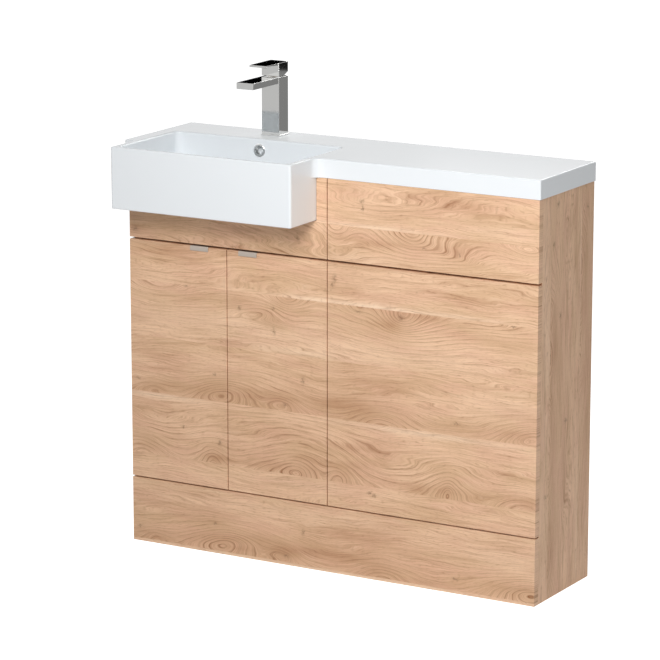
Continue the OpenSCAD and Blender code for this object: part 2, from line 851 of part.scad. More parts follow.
module angle_brackets() {
  color(steel) {
    for (c = bracket_corners) difference() {
      angle(c[0], c[1], fronts_back_y, 1, plinth_bracket_z - bracket_w / 2);
      rod_x([c[0] - 4, fronts_back_y + bracket_leg - 10, plinth_bracket_z], 8, screw_r);
      rod_y([c[0] + c[1] * (bracket_leg - 10), fronts_back_y - 1, plinth_bracket_z], 4, screw_r);
    }
    for (c = wall_corners) difference() {
      angle(c[0], c[1], wall_y, -1, wall_bracket_z);
      for (dz = [8, bracket_w - 8])
        rod_x([c[0] - 4, wall_y - bracket_leg + 10, wall_bracket_z + dz], 8, screw_r);
      rod_y([c[0] + c[1] * wall_hole_x, wall_y + 1, wall_bracket_z + bracket_w / 2],
        -bracket_t - 2, wall_hole_r);
    }
  }
}

module side_screw(x, dir, y, z) {
  rod_x([x + dir * bracket_t, y, z], -dir * (bracket_t + screw_len), screw_r);
  rod_x([x + dir * bracket_t, y, z], dir * screw_head_h, screw_head_r);
}

module bracket_screws() {
  for (c = bracket_corners) {
    px = c[0] + c[1] * (bracket_leg - 10);
    side_screw(c[0], c[1], fronts_back_y + bracket_leg - 10, plinth_bracket_z);
    rod_y([px, fronts_back_y + bracket_t, plinth_bracket_z], -bracket_t - screw_len, screw_r);
    rod_y([px, fronts_back_y + bracket_t, plinth_bracket_z], screw_head_h, screw_head_r);
  }
  for (c = wall_corners, dz = [8, bracket_w - 8])
    side_screw(c[0], c[1], wall_y - bracket_leg + 10, wall_bracket_z + dz);
}

// All the screws and rivets that stay with the cabinet share one node
module cabinet_fasteners() {
  color(steel) {
    fascia_screws();
    hinge_screws();
    hinge_arm_pins();
    bracket_screws();
  }
}

module joining_bolts() {
  color(steel) for (p = join_places) {
    rod_x([split_x - board_t, p[0], p[1]], 2 * board_t, join_r);
    for (s = [-1, 1]) rod_x([split_x + s * board_t, p[0], p[1]], s * join_head_h, join_head_r);
  }
}

// The cams have a cross hole that the bolt's head sits in
module cam_locks() {
  color(steel) {
    for (e = rail_ends) difference() {
      cam_at(e);
      rod_x([e[0], e[2], e[3] + rail_w - fix_inset], e[1] * cam_reach, bolt_r);
    }
    for (e = floor_ends) difference() {
      floor_cam_at(e);
      rod_x([e[0], floor_cam_y, floor_mid_z], e[1] * cam_reach, bolt_r);
    }
  }
}

module cam_bolts() {
  color(steel) {
    for (e = rail_ends)
      rod_x([e[0] - e[1] * bolt_in_side, e[2], e[3] + rail_w - fix_inset],
        e[1] * (bolt_in_side + cam_reach), bolt_r);
    for (e = floor_ends)
      rod_x([e[0] - e[1] * bolt_in_side, floor_cam_y, floor_mid_z],
        e[1] * (bolt_in_side + cam_reach), bolt_r);
  }
}

module dowels() {
  color("wheat") {
    for (e = rail_ends)
      rod_x([e[0] - e[1] * dowel_in_side, e[2], e[3] + fix_inset], e[1] * dowel_len, dowel_r);
    for (e = floor_ends)
      rod_x([e[0] - e[1] * dowel_in_side, floor_dowel_y, floor_mid_z], e[1] * dowel_len, dowel_r);
  }
}

// The top: a hollow slab with a hanging rim, and the bowl block cast in one with it
module top_outline() {
  slab_y = front_y - top_nose;
  x0 = left_x - top_over;
  x1 = right_x + top_over;
  translate([x0, slab_y]) square([x1 - x0, wall_y - slab_y]);
  translate([x0, front_y - left_nose]) square([bowl_x0 - x0, left_nose]);
  difference() {
    translate([bowl_x1, slab_y - top_fillet]) square(top_fillet);
    translate([bowl_x1 + top_fillet, slab_y - top_fillet]) circle(r = top_fillet);
  }
}

module basin_top() {
  pocket_top = top_z - shell_t;
  rim_x = rim_t - top_over;
  color(marble) difference() {
    union() {
      translate([0, 0, cabinet_h]) linear_extrude(top_edge_h) top_outline();
      box([bowl_x0, bowl_y0, bowl_z], [bowl_x1, bowl_out_y1, top_z]);
    }
    // Hollows under the slab
    box([left_x + rim_x, bowl_out_y1, bowl_z - 1],
      [split_x - rim_t, wall_y - rim_t, pocket_top]);
    box([split_x + rim_t, front_y + rim_t, bowl_z - 1],
      [right_x - rim_x, wall_y - rim_t, pocket_top]);
    // Inside of the bowl, and the fall of its floor
    translate([0, 0, bowl_floor_z]) linear_extrude(bowl_depth + 1)
      round_rect(bowl_in_x0, bowl_in_y0, bowl_in_x1, bowl_in_y1, bowl_corner_r);
    intersection() {
      translate([bowl_mid_x, waste_y, waste_z])
        cylinder(h = bowl_fall, r1 = recess_r, r2 = bowl_fall_r);
      box([bowl_in_x0 + floor_cove, bowl_in_y0 + floor_cove, waste_z - 1],
        [bowl_in_x1 - floor_cove, bowl_in_y1 - floor_cove, bowl_floor_z + 1]);
    }
    // Seat and hole of the waste
    translate([bowl_mid_x, waste_y, seat_z]) cylinder(h = recess_h + 1, r = recess_r);
    translate([bowl_mid_x, waste_y, bowl_z - 1]) cylinder(h = bowl_h, r = waste_hole_r);
    // Overflow hole, with its channel down the wall and under the floor
    rod_y([bowl_mid_x, bowl_in_y1 - 1, overflow_z], 11, overflow_bore);
    box([bowl_mid_x - channel_w / 2, channel_y, channel_z],
      [bowl_mid_x + channel_w / 2, channel_y + channel_d, overflow_z + overflow_bore]);
    box([bowl_mid_x - channel_w / 2, waste_y, channel_z],
      [bowl_mid_x + channel_w / 2, channel_y + 1, channel_z + channel_h]);
    // Tap hole
    translate([bowl_mid_x, tap_y, pocket_top - 1]) cylinder(h = shell_t + 2, r = tap_hole_r);
  }
}

module overflow_ring() {
  color(chrome) difference() {
    union() {
      rod_y([bowl_mid_x, bowl_in_y1, overflow_z], -2, overflow_r);
      rod_y([bowl_mid_x, bowl_in_y1, overflow_z], 8, overflow_bore);
    }
    rod_y([bowl_mid_x, bowl_in_y1 - 3, overflow_z], 12, overflow_bore - 2);
  }
}

module ring(z, h, r_out, r_in) {
  translate([bowl_mid_x, waste_y, z]) difference() {
    cylinder(h = h, r = r_out);
    translate([0, 0, -1]) cylinder(h = h + 2, r = r_in);
  }
}

module waste_body() {
  flange_z = seat_z + seal_t;
  color(chrome) difference() {
    union() {
      translate([bowl_mid_x, waste_y, tail_z]) cylinder(h = trap_len, r = tail_r);
      translate([bowl_mid_x, waste_y, tail_z]) cylinder(h = tail_len, r = relief_r);
      translate([bowl_mid_x, waste_y, shank_z])
        cylinder(h = tail_z + tail_len - shank_z, r = shank_r);
      translate([bowl_mid_x, waste_y, flange_z]) cylinder(h = 2, r = flange_r);
    }
    difference() {
      translate([bowl_mid_x, waste_y, tail_z - 1]) cylinder(h = tail_len + 4, r = tail_bore);
      translate([bowl_mid_x, waste_y, bridge_z + bridge_t / 2])
        cube([2 * tail_r, bridge_t, bridge_t], center = true);
      translate([bowl_mid_x, waste_y, bridge_z]) cylinder(h = hub_h, r = plug_stem_r + 3);
    }
    translate([bowl_mid_x, waste_y, bridge_z - 1]) cylinder(h = hub_h + 2, r = plug_stem_r + pin_clear);
    // Windows that take the overflow's water
    translate([bowl_mid_x, waste_y, channel_z + channel_h / 2])
      cube([16, 3 * tail_r, channel_h], center = true);
  }
}

// Washers of the waste, above and under the bowl's floor, and of the tap, under its ledge
module rubber_washers() {
  color(rubber) {
    ring(seat_z, seal_t, flange_r - 1, waste_hole_r);
    ring(bowl_z - under_seal_t, under_seal_t, flange_r - 2, shank_r);
    at_tap() horseshoe(-shell_t - shoe_rubber_t, shoe_rubber_t);
  }
}

module waste_nut() {
  color(chrome) translate([bowl_mid_x, waste_y, bowl_z - under_seal_t - nut_h]) difference() {
    cylinder(h = nut_h, r = flange_r - 1, $fn = 8);
    translate([0, 0, -1]) cylinder(h = nut_h + 2, r = shank_r);
  }
}

// The plug is drawn open, raised by its travel over the flange
module waste_plug() {
  rim_h = plug_t - 1.5;
  stem_len = plug_z - bridge_z - 2;
  color(chrome) translate([bowl_mid_x, waste_y, plug_z]) difference() {
    union() {
      cylinder(h = rim_h, r = plug_r);
      translate([0, 0, rim_h]) cylinder(h = plug_t - rim_h, r1 = plug_r, r2 = plug_r - 4);
      translate([0, 0, -stem_len]) cylinder(h = stem_len, r = plug_stem_r);
    }
    translate([0, 0, -1]) plug_groove(1 + plug_seal_in);
  }
}

module plug_groove(h) {
  difference() {
    cylinder(h = h, r = plug_seal_r + 1.5);
    translate([0, 0, -1]) cylinder(h = h + 2, r = plug_seal_r - 1.5);
  }
}

module plug_seal() {
  color(rubber) translate([bowl_mid_x, waste_y, plug_z - plug_seal_out])
    plug_groove(plug_seal_in + plug_seal_out);
}

// Tap parts are drawn around the tap's own axis, from the ledge upwards
module at_tap() { translate([bowl_mid_x, tap_y, top_z]) children(); }

module tap_foot() {
  over = tap_foot_over;
  color(chrome) at_tap() difference() {
    box([-tap_w / 2 - over, tap_front - over, 0], [tap_w / 2 + over, tap_rear + over, tap_foot_t]);
    translate([0, 0, -1]) cylinder(h = tap_foot_t + 2, r = tap_hole_r - 1);
  }
}

module tap_body() {
  color(chrome) at_tap() difference() {
    box([-tap_w / 2, tap_front, tap_foot_t], [tap_w / 2, tap_rear, tap_h]);
    translate([0, 0, chamber_z]) cylinder(h = tap_h, r = chamber_r);
    rod_y([0, tap_front - 1, spout_axis_z], aerator_inset + 1, spout_bore);
    for (s = [-1, 1]) translate([s * inlet_x, inlet_y, tap_foot_t - 1]) {
      cylinder(h = inlet_depth + 1, r = inlet_r);
      cylinder(h = chamber_z, r = gallery_r);
    }
    translate([0, tap_stud_y, tap_foot_t - 1]) cylinder(h = tap_stud_in + 1, r = tap_stud_r);
  }
}

// The spout is a bored bar, brazed to the body's front face
module tap_spout() {
  tip = tap_front - spout_reach;
  color(chrome) at_tap() difference() {
    box([-spout_w / 2, tip, tap_h - spout_t], [spout_w / 2, tap_front, tap_h]);
    rod_y([0, tip + aerator_inset, spout_axis_z], spout_reach, spout_bore);
    translate([0, tip + aerator_inset, tap_h - spout_t - 1]) cylinder(h = aerator_h + 1.2, r = aerator_r);
  }
}

module tap_aerator() {
  color(steel) at_tap() translate([0, tap_front - spout_reach + aerator_inset, tap_h - spout_t])
    difference() {
      cylinder(h = aerator_h, r = aerator_r);
      for (a = [0:60:300]) rotate([0, 0, a]) translate([4.8, 0, -1])
        cylinder(h = aerator_h + 2, r = 1.8);
      translate([0, 0, -1]) cylinder(h = aerator_h + 2, r = 1.8);
    }
}

module tap_cartridge() {
  collar_z = tap_h - nut_ring_h - collar_h;
  color("ivory") at_tap() difference() {
    union() {
      translate([0, 0, chamber_z]) cylinder(h = collar_z - chamber_z, r = cartridge_r);
      translate([0, 0, collar_z]) cylinder(h = collar_h, r = chamber_r);
    }
    translate([0, 0, tap_h - rotor_foot]) cylinder(h = rotor_foot, r = rotor_seat_r);
    for (s = [-1, 1]) translate([s * inlet_x, inlet_y, chamber_z - 1]) cylinder(h = 12, r = gallery_r);
  }
}

module tap_cartridge_nut() {
  color("goldenrod") at_tap() translate([0, 0, tap_h - nut_ring_h]) difference() {
    cylinder(h = nut_ring_h, r = chamber_r);
    translate([0, 0, -1]) cylinder(h = nut_ring_h + 2, r = rotor_seat_r);
  }
}

// The rotor turns in the cartridge and carries the pin on which the stem tilts
module tap_rotor() {
  pivot_z = tap_h - pivot_drop;
  color("ivory") at_tap() {
    difference() {
      translate([0, 0, tap_h - rotor_foot + 0.3]) cylinder(h = rotor_foot - 0.8, r = rotor_r);
      box([-slot_w / 2, -slot_d / 2, pivot_z - 7.5], [slot_w / 2, slot_d / 2, tap_h + 1]);
    }
    rod_x([-slot_w / 2, 0, pivot_z], slot_w, 1.5);
  }
}

module tap_stem() {
  pivot_z = tap_h - pivot_drop;
  color("goldenrod") at_tap() difference() {
    box([-stem_w / 2 + 0.05, -stem_d / 2, pivot_z - 5], [stem_w / 2 - 0.05, stem_d / 2,
      tap_h + lever_gap + stem_up]);
    rod_x([-stem_w, 0, pivot_z], 2 * stem_w, 1.5 + pin_clear);
  }
}

module tap_lever() {
  z0 = tap_h + lever_gap;
  z1 = z0 + lever_h;
  plate_z = z1 - lever_t;
  color(chrome) at_tap() difference() {
    union() {
      translate([-tap_w / 2, 0, 0]) rotate([90, 0, 90]) linear_extrude(tap_w) polygon([
        [tap_front, z0],
        [tap_rear - lever_slope_d, z0],
        [tap_rear, z0 + lever_slope_h],
        [tap_rear, z1],
        [tap_front, z1]
      ]);
      box([-spout_w / 2, tap_front - lever_reach, plate_z], [spout_w / 2, tap_front + 1, z1]);
    }
    box([-stem_w / 2, -stem_d / 2, z0 - 1], [stem_w / 2, stem_d / 2, z0 + stem_up]);
    rod_y([0, 0, z0 + lever_screw_z], tap_rear + 1, lever_screw_r);
  }
}

// Grub screw that holds the lever on the stem
module tap_lever_screw() {
  z = tap_h + lever_gap + lever_screw_z;
  color(steel) at_tap() rod_y([0, stem_d / 2, z], tap_rear - stem_d / 2 - 2, lever_screw_r);
}

module tap_stud() {
  color(steel) at_tap() translate([0, tap_stud_y, tap_foot_t + tap_stud_in - tap_stud_len])
    cylinder(h = tap_stud_len, r = tap_stud_r);
}

module tap_shoe() {
  color(steel) at_tap() horseshoe(-shell_t - shoe_rubber_t - shoe_t, shoe_t);
}

module tap_nut() {
  color("goldenrod") at_tap()
    translate([0, tap_stud_y, -shell_t - shoe_rubber_t - shoe_t - tap_nut_h]) difference() {
      cylinder(h = tap_nut_h, r = 7.5, $fn = 6);
      translate([0, 0, -1]) cylinder(h = tap_nut_h + 2, r = tap_stud_r);
    }
}

// C-shaped washer around the stud, open for the two supply tails
module horseshoe(z, h) {
  translate([0, 0, z]) difference() {
    cylinder(h = h, r = tap_hole_r + 7);
    translate([-tail_slot_w / 2, tap_stud_y + 7.5, -1]) cube([tail_slot_w, 3 * tap_hole_r, h + 2]);
    translate([0, tap_stud_y, -1]) cylinder(h = h + 2, r = tap_stud_r);
  }
}

basin_left_side();
basin_right_side();
basin_floor();
basin_gap_rail();
basin_top_rail();
basin_low_rail();
shelf();
shelf_pins();
basin_fascia();
fascia_spacers();
cabinet_fasteners();
left_door();
right_door();
left_handle();
right_handle();
left_door_fasteners();
right_door_fasteners();
left_door_buffers();
right_door_buffers();
left_hinge_cups();
right_hinge_cups();
left_hinge_links();
right_hinge_links();
hinge_arms();
hinge_plates();
wc_left_side();
wc_right_side();
wc_front_rail();
wc_gap_rail();
wc_low_rail();
wc_back_rail();
wc_fascia();
wc_panel();
panel_studs();
plinth();
angle_brackets();
joining_bolts();
cam_locks();
cam_bolts();
dowels();
basin_top();
overflow_ring();
waste_body();
waste_nut();
waste_plug();
plug_seal();
rubber_washers();
tap_foot();
tap_body();
tap_spout();
tap_aerator();
tap_cartridge();
tap_cartridge_nut();
tap_rotor();
tap_lever();
tap_stem();
tap_lever_screw();
tap_stud();
tap_shoe();
tap_nut();
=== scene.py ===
"""Finished surfaces of a slim bathroom vanity unit, built around its construction parts.

Sizes are in millimetres in the panel's values and in metres in the meshes.
"""

import json
import math

import bmesh
import bpy
import numpy as np
from mathutils import Matrix, Vector


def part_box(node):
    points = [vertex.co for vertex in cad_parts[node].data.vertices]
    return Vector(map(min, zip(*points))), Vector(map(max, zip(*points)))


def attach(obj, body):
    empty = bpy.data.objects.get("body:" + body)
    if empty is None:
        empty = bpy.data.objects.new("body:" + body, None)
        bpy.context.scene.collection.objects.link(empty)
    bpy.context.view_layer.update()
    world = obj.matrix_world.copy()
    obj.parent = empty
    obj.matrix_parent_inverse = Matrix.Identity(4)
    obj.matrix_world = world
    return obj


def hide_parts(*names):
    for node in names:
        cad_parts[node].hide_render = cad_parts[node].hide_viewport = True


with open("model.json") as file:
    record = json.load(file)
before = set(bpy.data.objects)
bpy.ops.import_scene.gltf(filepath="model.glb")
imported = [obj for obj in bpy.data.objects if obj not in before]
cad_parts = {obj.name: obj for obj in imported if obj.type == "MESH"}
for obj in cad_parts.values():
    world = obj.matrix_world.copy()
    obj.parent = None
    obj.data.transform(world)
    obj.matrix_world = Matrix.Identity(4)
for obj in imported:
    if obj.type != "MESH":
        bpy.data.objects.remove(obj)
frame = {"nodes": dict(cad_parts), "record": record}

bl_info = {
    "name": "Vanity unit",
    "version": (1, 0, 0),
    "blender": (4, 5, 0),
    "location": "3D View > Sidebar > Vanity",
    "description": "Finishes a bathroom vanity unit: oak decor, moulded top, tap and fittings",
    "category": "Object",
}

MM = 0.001
# Stretch of the oak pattern between one stave and the next, in millimetres
ROW = 4000.0
# Stretches a swell of 1 / (1 + r^2)^2 so that it falls to 1 / e at its half-length and half-height
BELL = 1.246
# How dark a knot's core is
KNOT = 0.62
# Edges bent by more than these angles in degrees are rounded, or stay sharp in the shading
ROUNDED = 32
SHARP = 38
# Places closer than this, in metres, count as the same
SAME = 1e-6
NODES = frame["nodes"]
BODY_OF = {n: b for b, names in frame["record"]["behaviour"]["bodies"].items() for n in names}


def linear(text):
    """A colour written as #RRGGBB, as linear red, green and blue."""
    parts = [int(text[i : i + 2], 16) / 255 for i in (1, 3, 5)]
    return tuple(c / 12.92 if c <= 0.04045 else ((c + 0.055) / 1.055) ** 2.4 for c in parts)


def colour(name, text, about):
    return bpy.props.FloatVectorProperty(
        name=name, description=about, default=linear(text), subtype="COLOR", size=3, min=0, max=1
    )


def amount(name, value, about):
    return bpy.props.FloatProperty(name=name, description=about, default=value, min=0)


class VanityFinishes(bpy.types.PropertyGroup):
    """Colours of the finishes."""

    oak_peach: colour("Oak, peach", "#F1C9A6", "Main tone of the oak decor")
    oak_tan: colour("Oak, tan", "#E3BC97", "Greyer tone of the oak decor")
    oak_pink: colour("Oak, pink", "#E9BD9D", "Redder tone of the oak decor")
    oak_shade: colour("Oak, shade", "#B98A66", "Darker tone inside the figures")
    oak_ring: colour("Oak, ring line", "#96633E", "Colour of the growth lines")
    oak_core: colour("Oak, knot", "#7A563A", "Colour of a knot's core")
    oak_light: colour("Oak, light", "#FDDDBE", "Pale strips along the staves' seams")
    oak_edge: colour("Oak edging", "#CFAE90", "Edging band of the boards")
    marble: colour("Marble", "#EEF2F5", "Gel coat of the moulded top")
    chrome: colour("Chrome", "#DCDCDA", "Polished chrome")
    nickel: colour("Satin nickel", "#BDB2A7", "Satin finish of the handles")
    zinc: colour("Zinc", "#B9BBBE", "Zinc-plated and nickel-plated steel")
    nylon: colour("Grey nylon", "#A5A49F", "Moulded nylon")
    white: colour("Soft white", "#E8E8E4", "Door buffers")
    rubber: colour("Rubber", "#262626", "Black rubber")
    brass: colour("Brass", "#C9A357", "Machined brass")
    ivory: colour("Cartridge plastic", "#DAD3BE", "Plastic of the tap's cartridge")
    beech: colour("Beech", "#D3B083", "Beech dowels")


class VanitySizes(bpy.types.PropertyGroup):
    """Sizes of the details, in millimetres."""

    ring: amount("Ring spacing", 19.0, "Distance between growth lines away from the figures")
    fibre: amount("Fibre", 2.2, "Thickness of the fine fibres")
    board_edge: amount("Board edge", 0.6, "Rounding of the boards' edges")
    metal_edge: amount("Sheet edge", 0.15, "Rounding of pressed steel parts")
    tap_edge: amount("Tap edge", 0.5, "Rounding of the tap's edges")
    slab_edge: amount("Slab edge", 2.5, "Rounding of the top's upper edge")
    slab_low: amount("Slab lower edge", 1.5, "Rounding of the top's lower edge")
    bowl_edge: amount("Bowl edge", 5.0, "Rounding of the bowl block's upright corners")
    rim_edge: amount("Rim", 4.0, "Rounding of the bowl's inner rim")
    cove: amount("Cove", 16.0, "Cove between the bowl's walls and its floor")
    bowl_corner: amount("Inner corner", 14.0, "Inner corners of the bowl, in plan")
    lip_corner: amount("Handle corner", 2.2, "Lower corners of the handles' lips")


class VanityStage(bpy.types.PropertyGroup):
    """Light and view."""

    key: amount("Key light", 53.0, "Power of the front lamp")
    side: amount("Side light", 3.3, "Power of the lamp at the right")
    back: amount("Back light", 10.5, "Power of the lamp at the back")
    fill: amount("Fill", 0.165, "Strength of the light from all around")
    lens: bpy.props.FloatProperty(
        name="Lens", description="Focal length", default=184.71, min=1, unit="CAMERA"
    )


# Materials


def add(tree, kind, inputs=(), out=0, **settings):
    """Adds one node with its settings, and links or sets its inputs: in order, or by name or number."""
    node = tree.nodes.new(kind)
    for name, value in settings.items():
        setattr(node, name, value)
    for key, value in inputs.items() if isinstance(inputs, dict) else enumerate(inputs):
        socket = node.inputs[key]
        if isinstance(value, bpy.types.NodeSocket):
            tree.links.new(value, socket)
        else:
            socket.default_value = value
    return node.outputs[out]


def surface(name, values):
    """A new material, its nodes and its shader, with the shader's constants set."""
    material = bpy.data.materials.new(name)
    material.use_nodes = True
    shader = material.node_tree.nodes["Principled BSDF"]
    for socket, value in values.items():
        shader.inputs[socket].default_value = value
    return material, material.node_tree, shader


def rgba(values):
    return (*values, 1.0)


def plain(name, base, roughness, metallic, bump, grain):
    """One colour, a little uneven in gloss and, with a bump, in level; bump and grain are in millimetres."""
    values = {"Base Color": rgba(base), "Roughness": roughness, "Metallic": metallic}
    material, tree, shader = surface(name, values)
    place = add(tree, "ShaderNodeTexCoord", out="Object")
    noise = add(tree, "ShaderNodeTexNoise", {"Vector": place, "Scale": 1 / (grain * MM), "Detail": 3.0})
    levels = {"Value": noise, "To Min": roughness * 0.85, "To Max": roughness * 1.15}
    rough = add(tree, "ShaderNodeMapRange", levels)
    tree.links.new(rough, shader.inputs["Roughness"])
    if bump:
        bent = add(tree, "ShaderNodeBump", {"Height": noise, "Distance": bump * MM, "Strength": 0.5})
        tree.links.new(bent, shader.inputs["Normal"])
    return material


# The printed oak. Each spot has its place along and across the grain and its half-length and half-height, in
# millimetres. A figure then has its number of rings, below 0 where the lines arch over it, and its tilt in
# degrees. A shade or a light has its strength.


def lifted(spots, rise):
    """The same spots higher up."""
    return tuple((spot[0], spot[1] + rise, *spot[2:]) for spot in spots)


# One stave that the print repeats, from its lower seam
STAVE = {
    "figures": (
        (-262, 18, 92, 38, -8.0, 7), (-442, 8, 36, 20, -1.8, 0), (-112, 14, 46, 22, -3.6, -8),
        (135, 1, 70, 40, -4.0, 0), (496, 18, 92, 38, -8.0, 7),
    ),
    "knots": (
        (-285, 60, 4, 2.5), (-482, 28, 6, 2.5), (-60, 73, 3, 6), (313, 26, 6, 2), (-104, 14, 5, 3),
    ),
    "shades": (
        (-270, 20, 120, 22, 0.42), (-440, 14, 60, 16, 0.35), (-110, 22, 60, 22, 0.34),
        (30, 34, 80, 26, 0.42), (120, 12, 60, 20, 0.26), (310, 14, 120, 16, 0.26),
        (455, 18, 60, 20, 0.22), (110, 88, 120, 34, 0.36), (-440, 96, 70, 26, 0.20),
    ),
}
DOORS = {
    "seams": (205, 345, 471, 596),
    "figures": lifted(STAVE["figures"], 345)
    + (
        (182, 585, 44, 36, 5.0, 0), (206, 592, 132, 60, 5.0, -8), (76, 595.5, 26, 16, 1.6, 0),
        (400, 592, 92, 22, 2.0, 0), (-425, 590, 100, 24, 2.8, 0), (-96, 595.5, 42, 36, 4.2, 0),
        (-170, 556, 70, 16, -1.8, 9), (-72, 210, 56, 42, -5.4, 0), (-150, 208, 96, 34, -3.2, 5),
        (-290, 210, 34, 42, -3.6, 12), (-470, 206, 64, 42, -3.4, -8), (150, 258, 130, 50, 2.2, 0),
        (290, 205.5, 50, 50, -4.8, 0), (294, 216, 15, 26, -2.4, -8), (28, 205.5, 32, 40, -3.6, 0),
        (470, 205.5, 66, 38, -3.0, 0), (-70, 300, 160, 46, -2.4, 0), (-420, 282, 110, 36, 2.0, 0),
        (-410, 694, 120, 36, 2.2, -5), (420, 706, 150, 60, -2.6, 0),
    ),
    "knots": lifted(STAVE["knots"], 345)
    + (
        (179, 583, 6, 5), (76, 585, 6, 2), (445, 594, 6, 2), (-219, 560, 4, 4), (-134, 569, 3, 3),
        (-133, 518, 3, 6), (18, 650, 3, 7), (12, 636, 3, 5), (-355, 595, 5, 3), (-271, 252, 4, 6),
        (-365, 277, 5, 2), (105, 192, 4, 2.5), (116, 187, 5, 2),
    ),
    "shades": lifted(STAVE["shades"], 345)
    + (
        (158, 570, 26, 24, 0.52), (242, 589, 56, 10, 0.50), (-92, 590, 46, 16, 0.32),
        (-212, 576, 46, 18, 0.22), (-400, 672, 90, 16, 0.42), (-300, 688, 70, 10, 0.34),
        (330, 636, 130, 12, 0.14), (40, 640, 60, 24, 0.20), (-282, 216, 32, 18, 0.55),
        (-455, 220, 50, 18, 0.32), (-135, 216, 90, 20, 0.46), (-40, 228, 42, 30, 0.32),
        (226, 213, 26, 12, 0.50), (290, 222, 20, 26, 0.36), (362, 212, 30, 12, 0.40),
        (45, 226, 50, 22, 0.32), (482, 220, 30, 14, 0.36), (-220, 288, 180, 9, 0.26),
        (70, 284, 90, 9, 0.30), (-420, 318, 90, 14, 0.24),
    ),
    "lights": (
        (110, 599, 150, 5, 0.95), (330, 600, 100, 5, 0.40), (-50, 599, 60, 5, 0.45),
        (-60, 478, 110, 9, 0.40), (200, 500, 300, 26, 0.22), (-430, 339, 90, 6, 0.85),
        (250, 338, 170, 6, 0.85), (-280, 522, 240, 26, 0.18), (430, 420, 90, 40, 0.20),
        (-60, 190, 150, 14, 0.20),
    ),
}
FASCIAS = {
    "seams": (766,),
    "figures": (
        (208, 765.5, 48, 32, 4.6, -8), (170, 765.5, 104, 56, 3.0, -14),
        (290, 728, 60, 20, 2.0, -12), (480, 756, 56, 22, 3.2, 0), (20, 765.5, 36, 36, 3.4, 0),
        (10, 690, 90, 30, 2.0, 10), (-150, 690, 220, 30, 1.2, 5), (-420, 764, 150, 34, 1.4, 6),
        (140, 826, 140, 22, 1.2, 4), (380, 850, 140, 30, -1.6, 0),
    ),
    "knots": (
        (-73, 727, 3, 5), (-236, 692, 5, 2), (-486, 708, 6, 4), (83, 822, 4, 4), (86, 808, 2, 6),
        (234, 737, 3, 2), (316, 730, 3, 4),
    ),
    "shades": (
        (196, 752, 36, 14, 0.34), (316, 738, 24, 12, 0.30), (90, 736, 60, 14, 0.20),
        (-480, 712, 24, 14, 0.30), (-300, 716, 160, 10, 0.20), (335, 836, 60, 9, 0.28),
        (215, 812, 90, 12, 0.20), (30, 846, 60, 10, 0.22),
    ),
    "lights": ((110, 769, 130, 4.5, 0.8), (400, 790, 120, 16, 0.25), (60, 700, 60, 8, 0.3)),
}
PLINTH = {
    "seams": (7,),
    "figures": lifted(STAVE["figures"], 7),
    "knots": lifted(STAVE["knots"], 7),
    "shades": lifted(STAVE["shades"], 7),
    "lights": ((0, 2, 600, 5, 0.8), (-60, 120, 260, 20, 0.2), (430, 90, 90, 30, 0.2)),
}
SIDES = {
    "seams": (-17, 122),
    "figures": (
        (620, -16, 60, 40, -5.4, 0), (520, -16, 56, 30, -4.2, 0), (300, -16, 120, 34, -9.0, 0),
        (400, -16, 40, 24, -3.0, 0), (84, -16, 74, 44, -5.4, 0), (700, 123, 66, 34, -6.0, 0),
        (600, 123, 46, 32, -4.6, 0), (480, 123, 50, 26, -3.4, 0), (250, 62, 150, 24, 2.6, 5),
        (760, 50, 130, 18, 2.2, 0),
    ),
    "knots": (
        (603, 28, 5, 4), (760, -6, 5, 4), (842, 12, 6, 5), (372, 60, 4, 6), (226, -30, 3, 5),
        (815, 150, 4, 3),
    ),
    "shades": (
        (560, 4, 90, 20, 0.40), (360, 0, 150, 16, 0.32), (90, 4, 80, 26, 0.32),
        (450, 152, 600, 34, 0.30), (640, 58, 110, 6, 0.34), (250, 56, 90, 8, 0.34),
        (420, 70, 90, 10, 0.20),
    ),
    "lights": ((760, 121, 130, 2.2, 0.7), (90, 121, 110, 2.2, 0.7), (600, -40, 400, 20, 0.22)),
}
INNER = {"seams": tuple(range(-60, 900, 131)), "figures": (), "knots": (), "shades": (), "lights": ()}
# Fills up a group of three spots; its weight is 0
IDLE = (0, 0, 1, 1)


def ellipse(seams, along, across, wide, high, tilt=0):
    """The factors that turn a place into its two coordinates in a tilted ellipse around a spot."""
    along += ROW * sum(across > seam for seam in seams)
    wide, high = wide * BELL, high * BELL
    cosine, sine = math.cos(math.radians(tilt)), math.sin(math.radians(tilt))
    return (
        cosine / wide,
        sine / wide,
        -(along * cosine + across * sine) / wide,
        -sine / high,
        cosine / high,
        (along * sine - across * cosine) / high,
    )


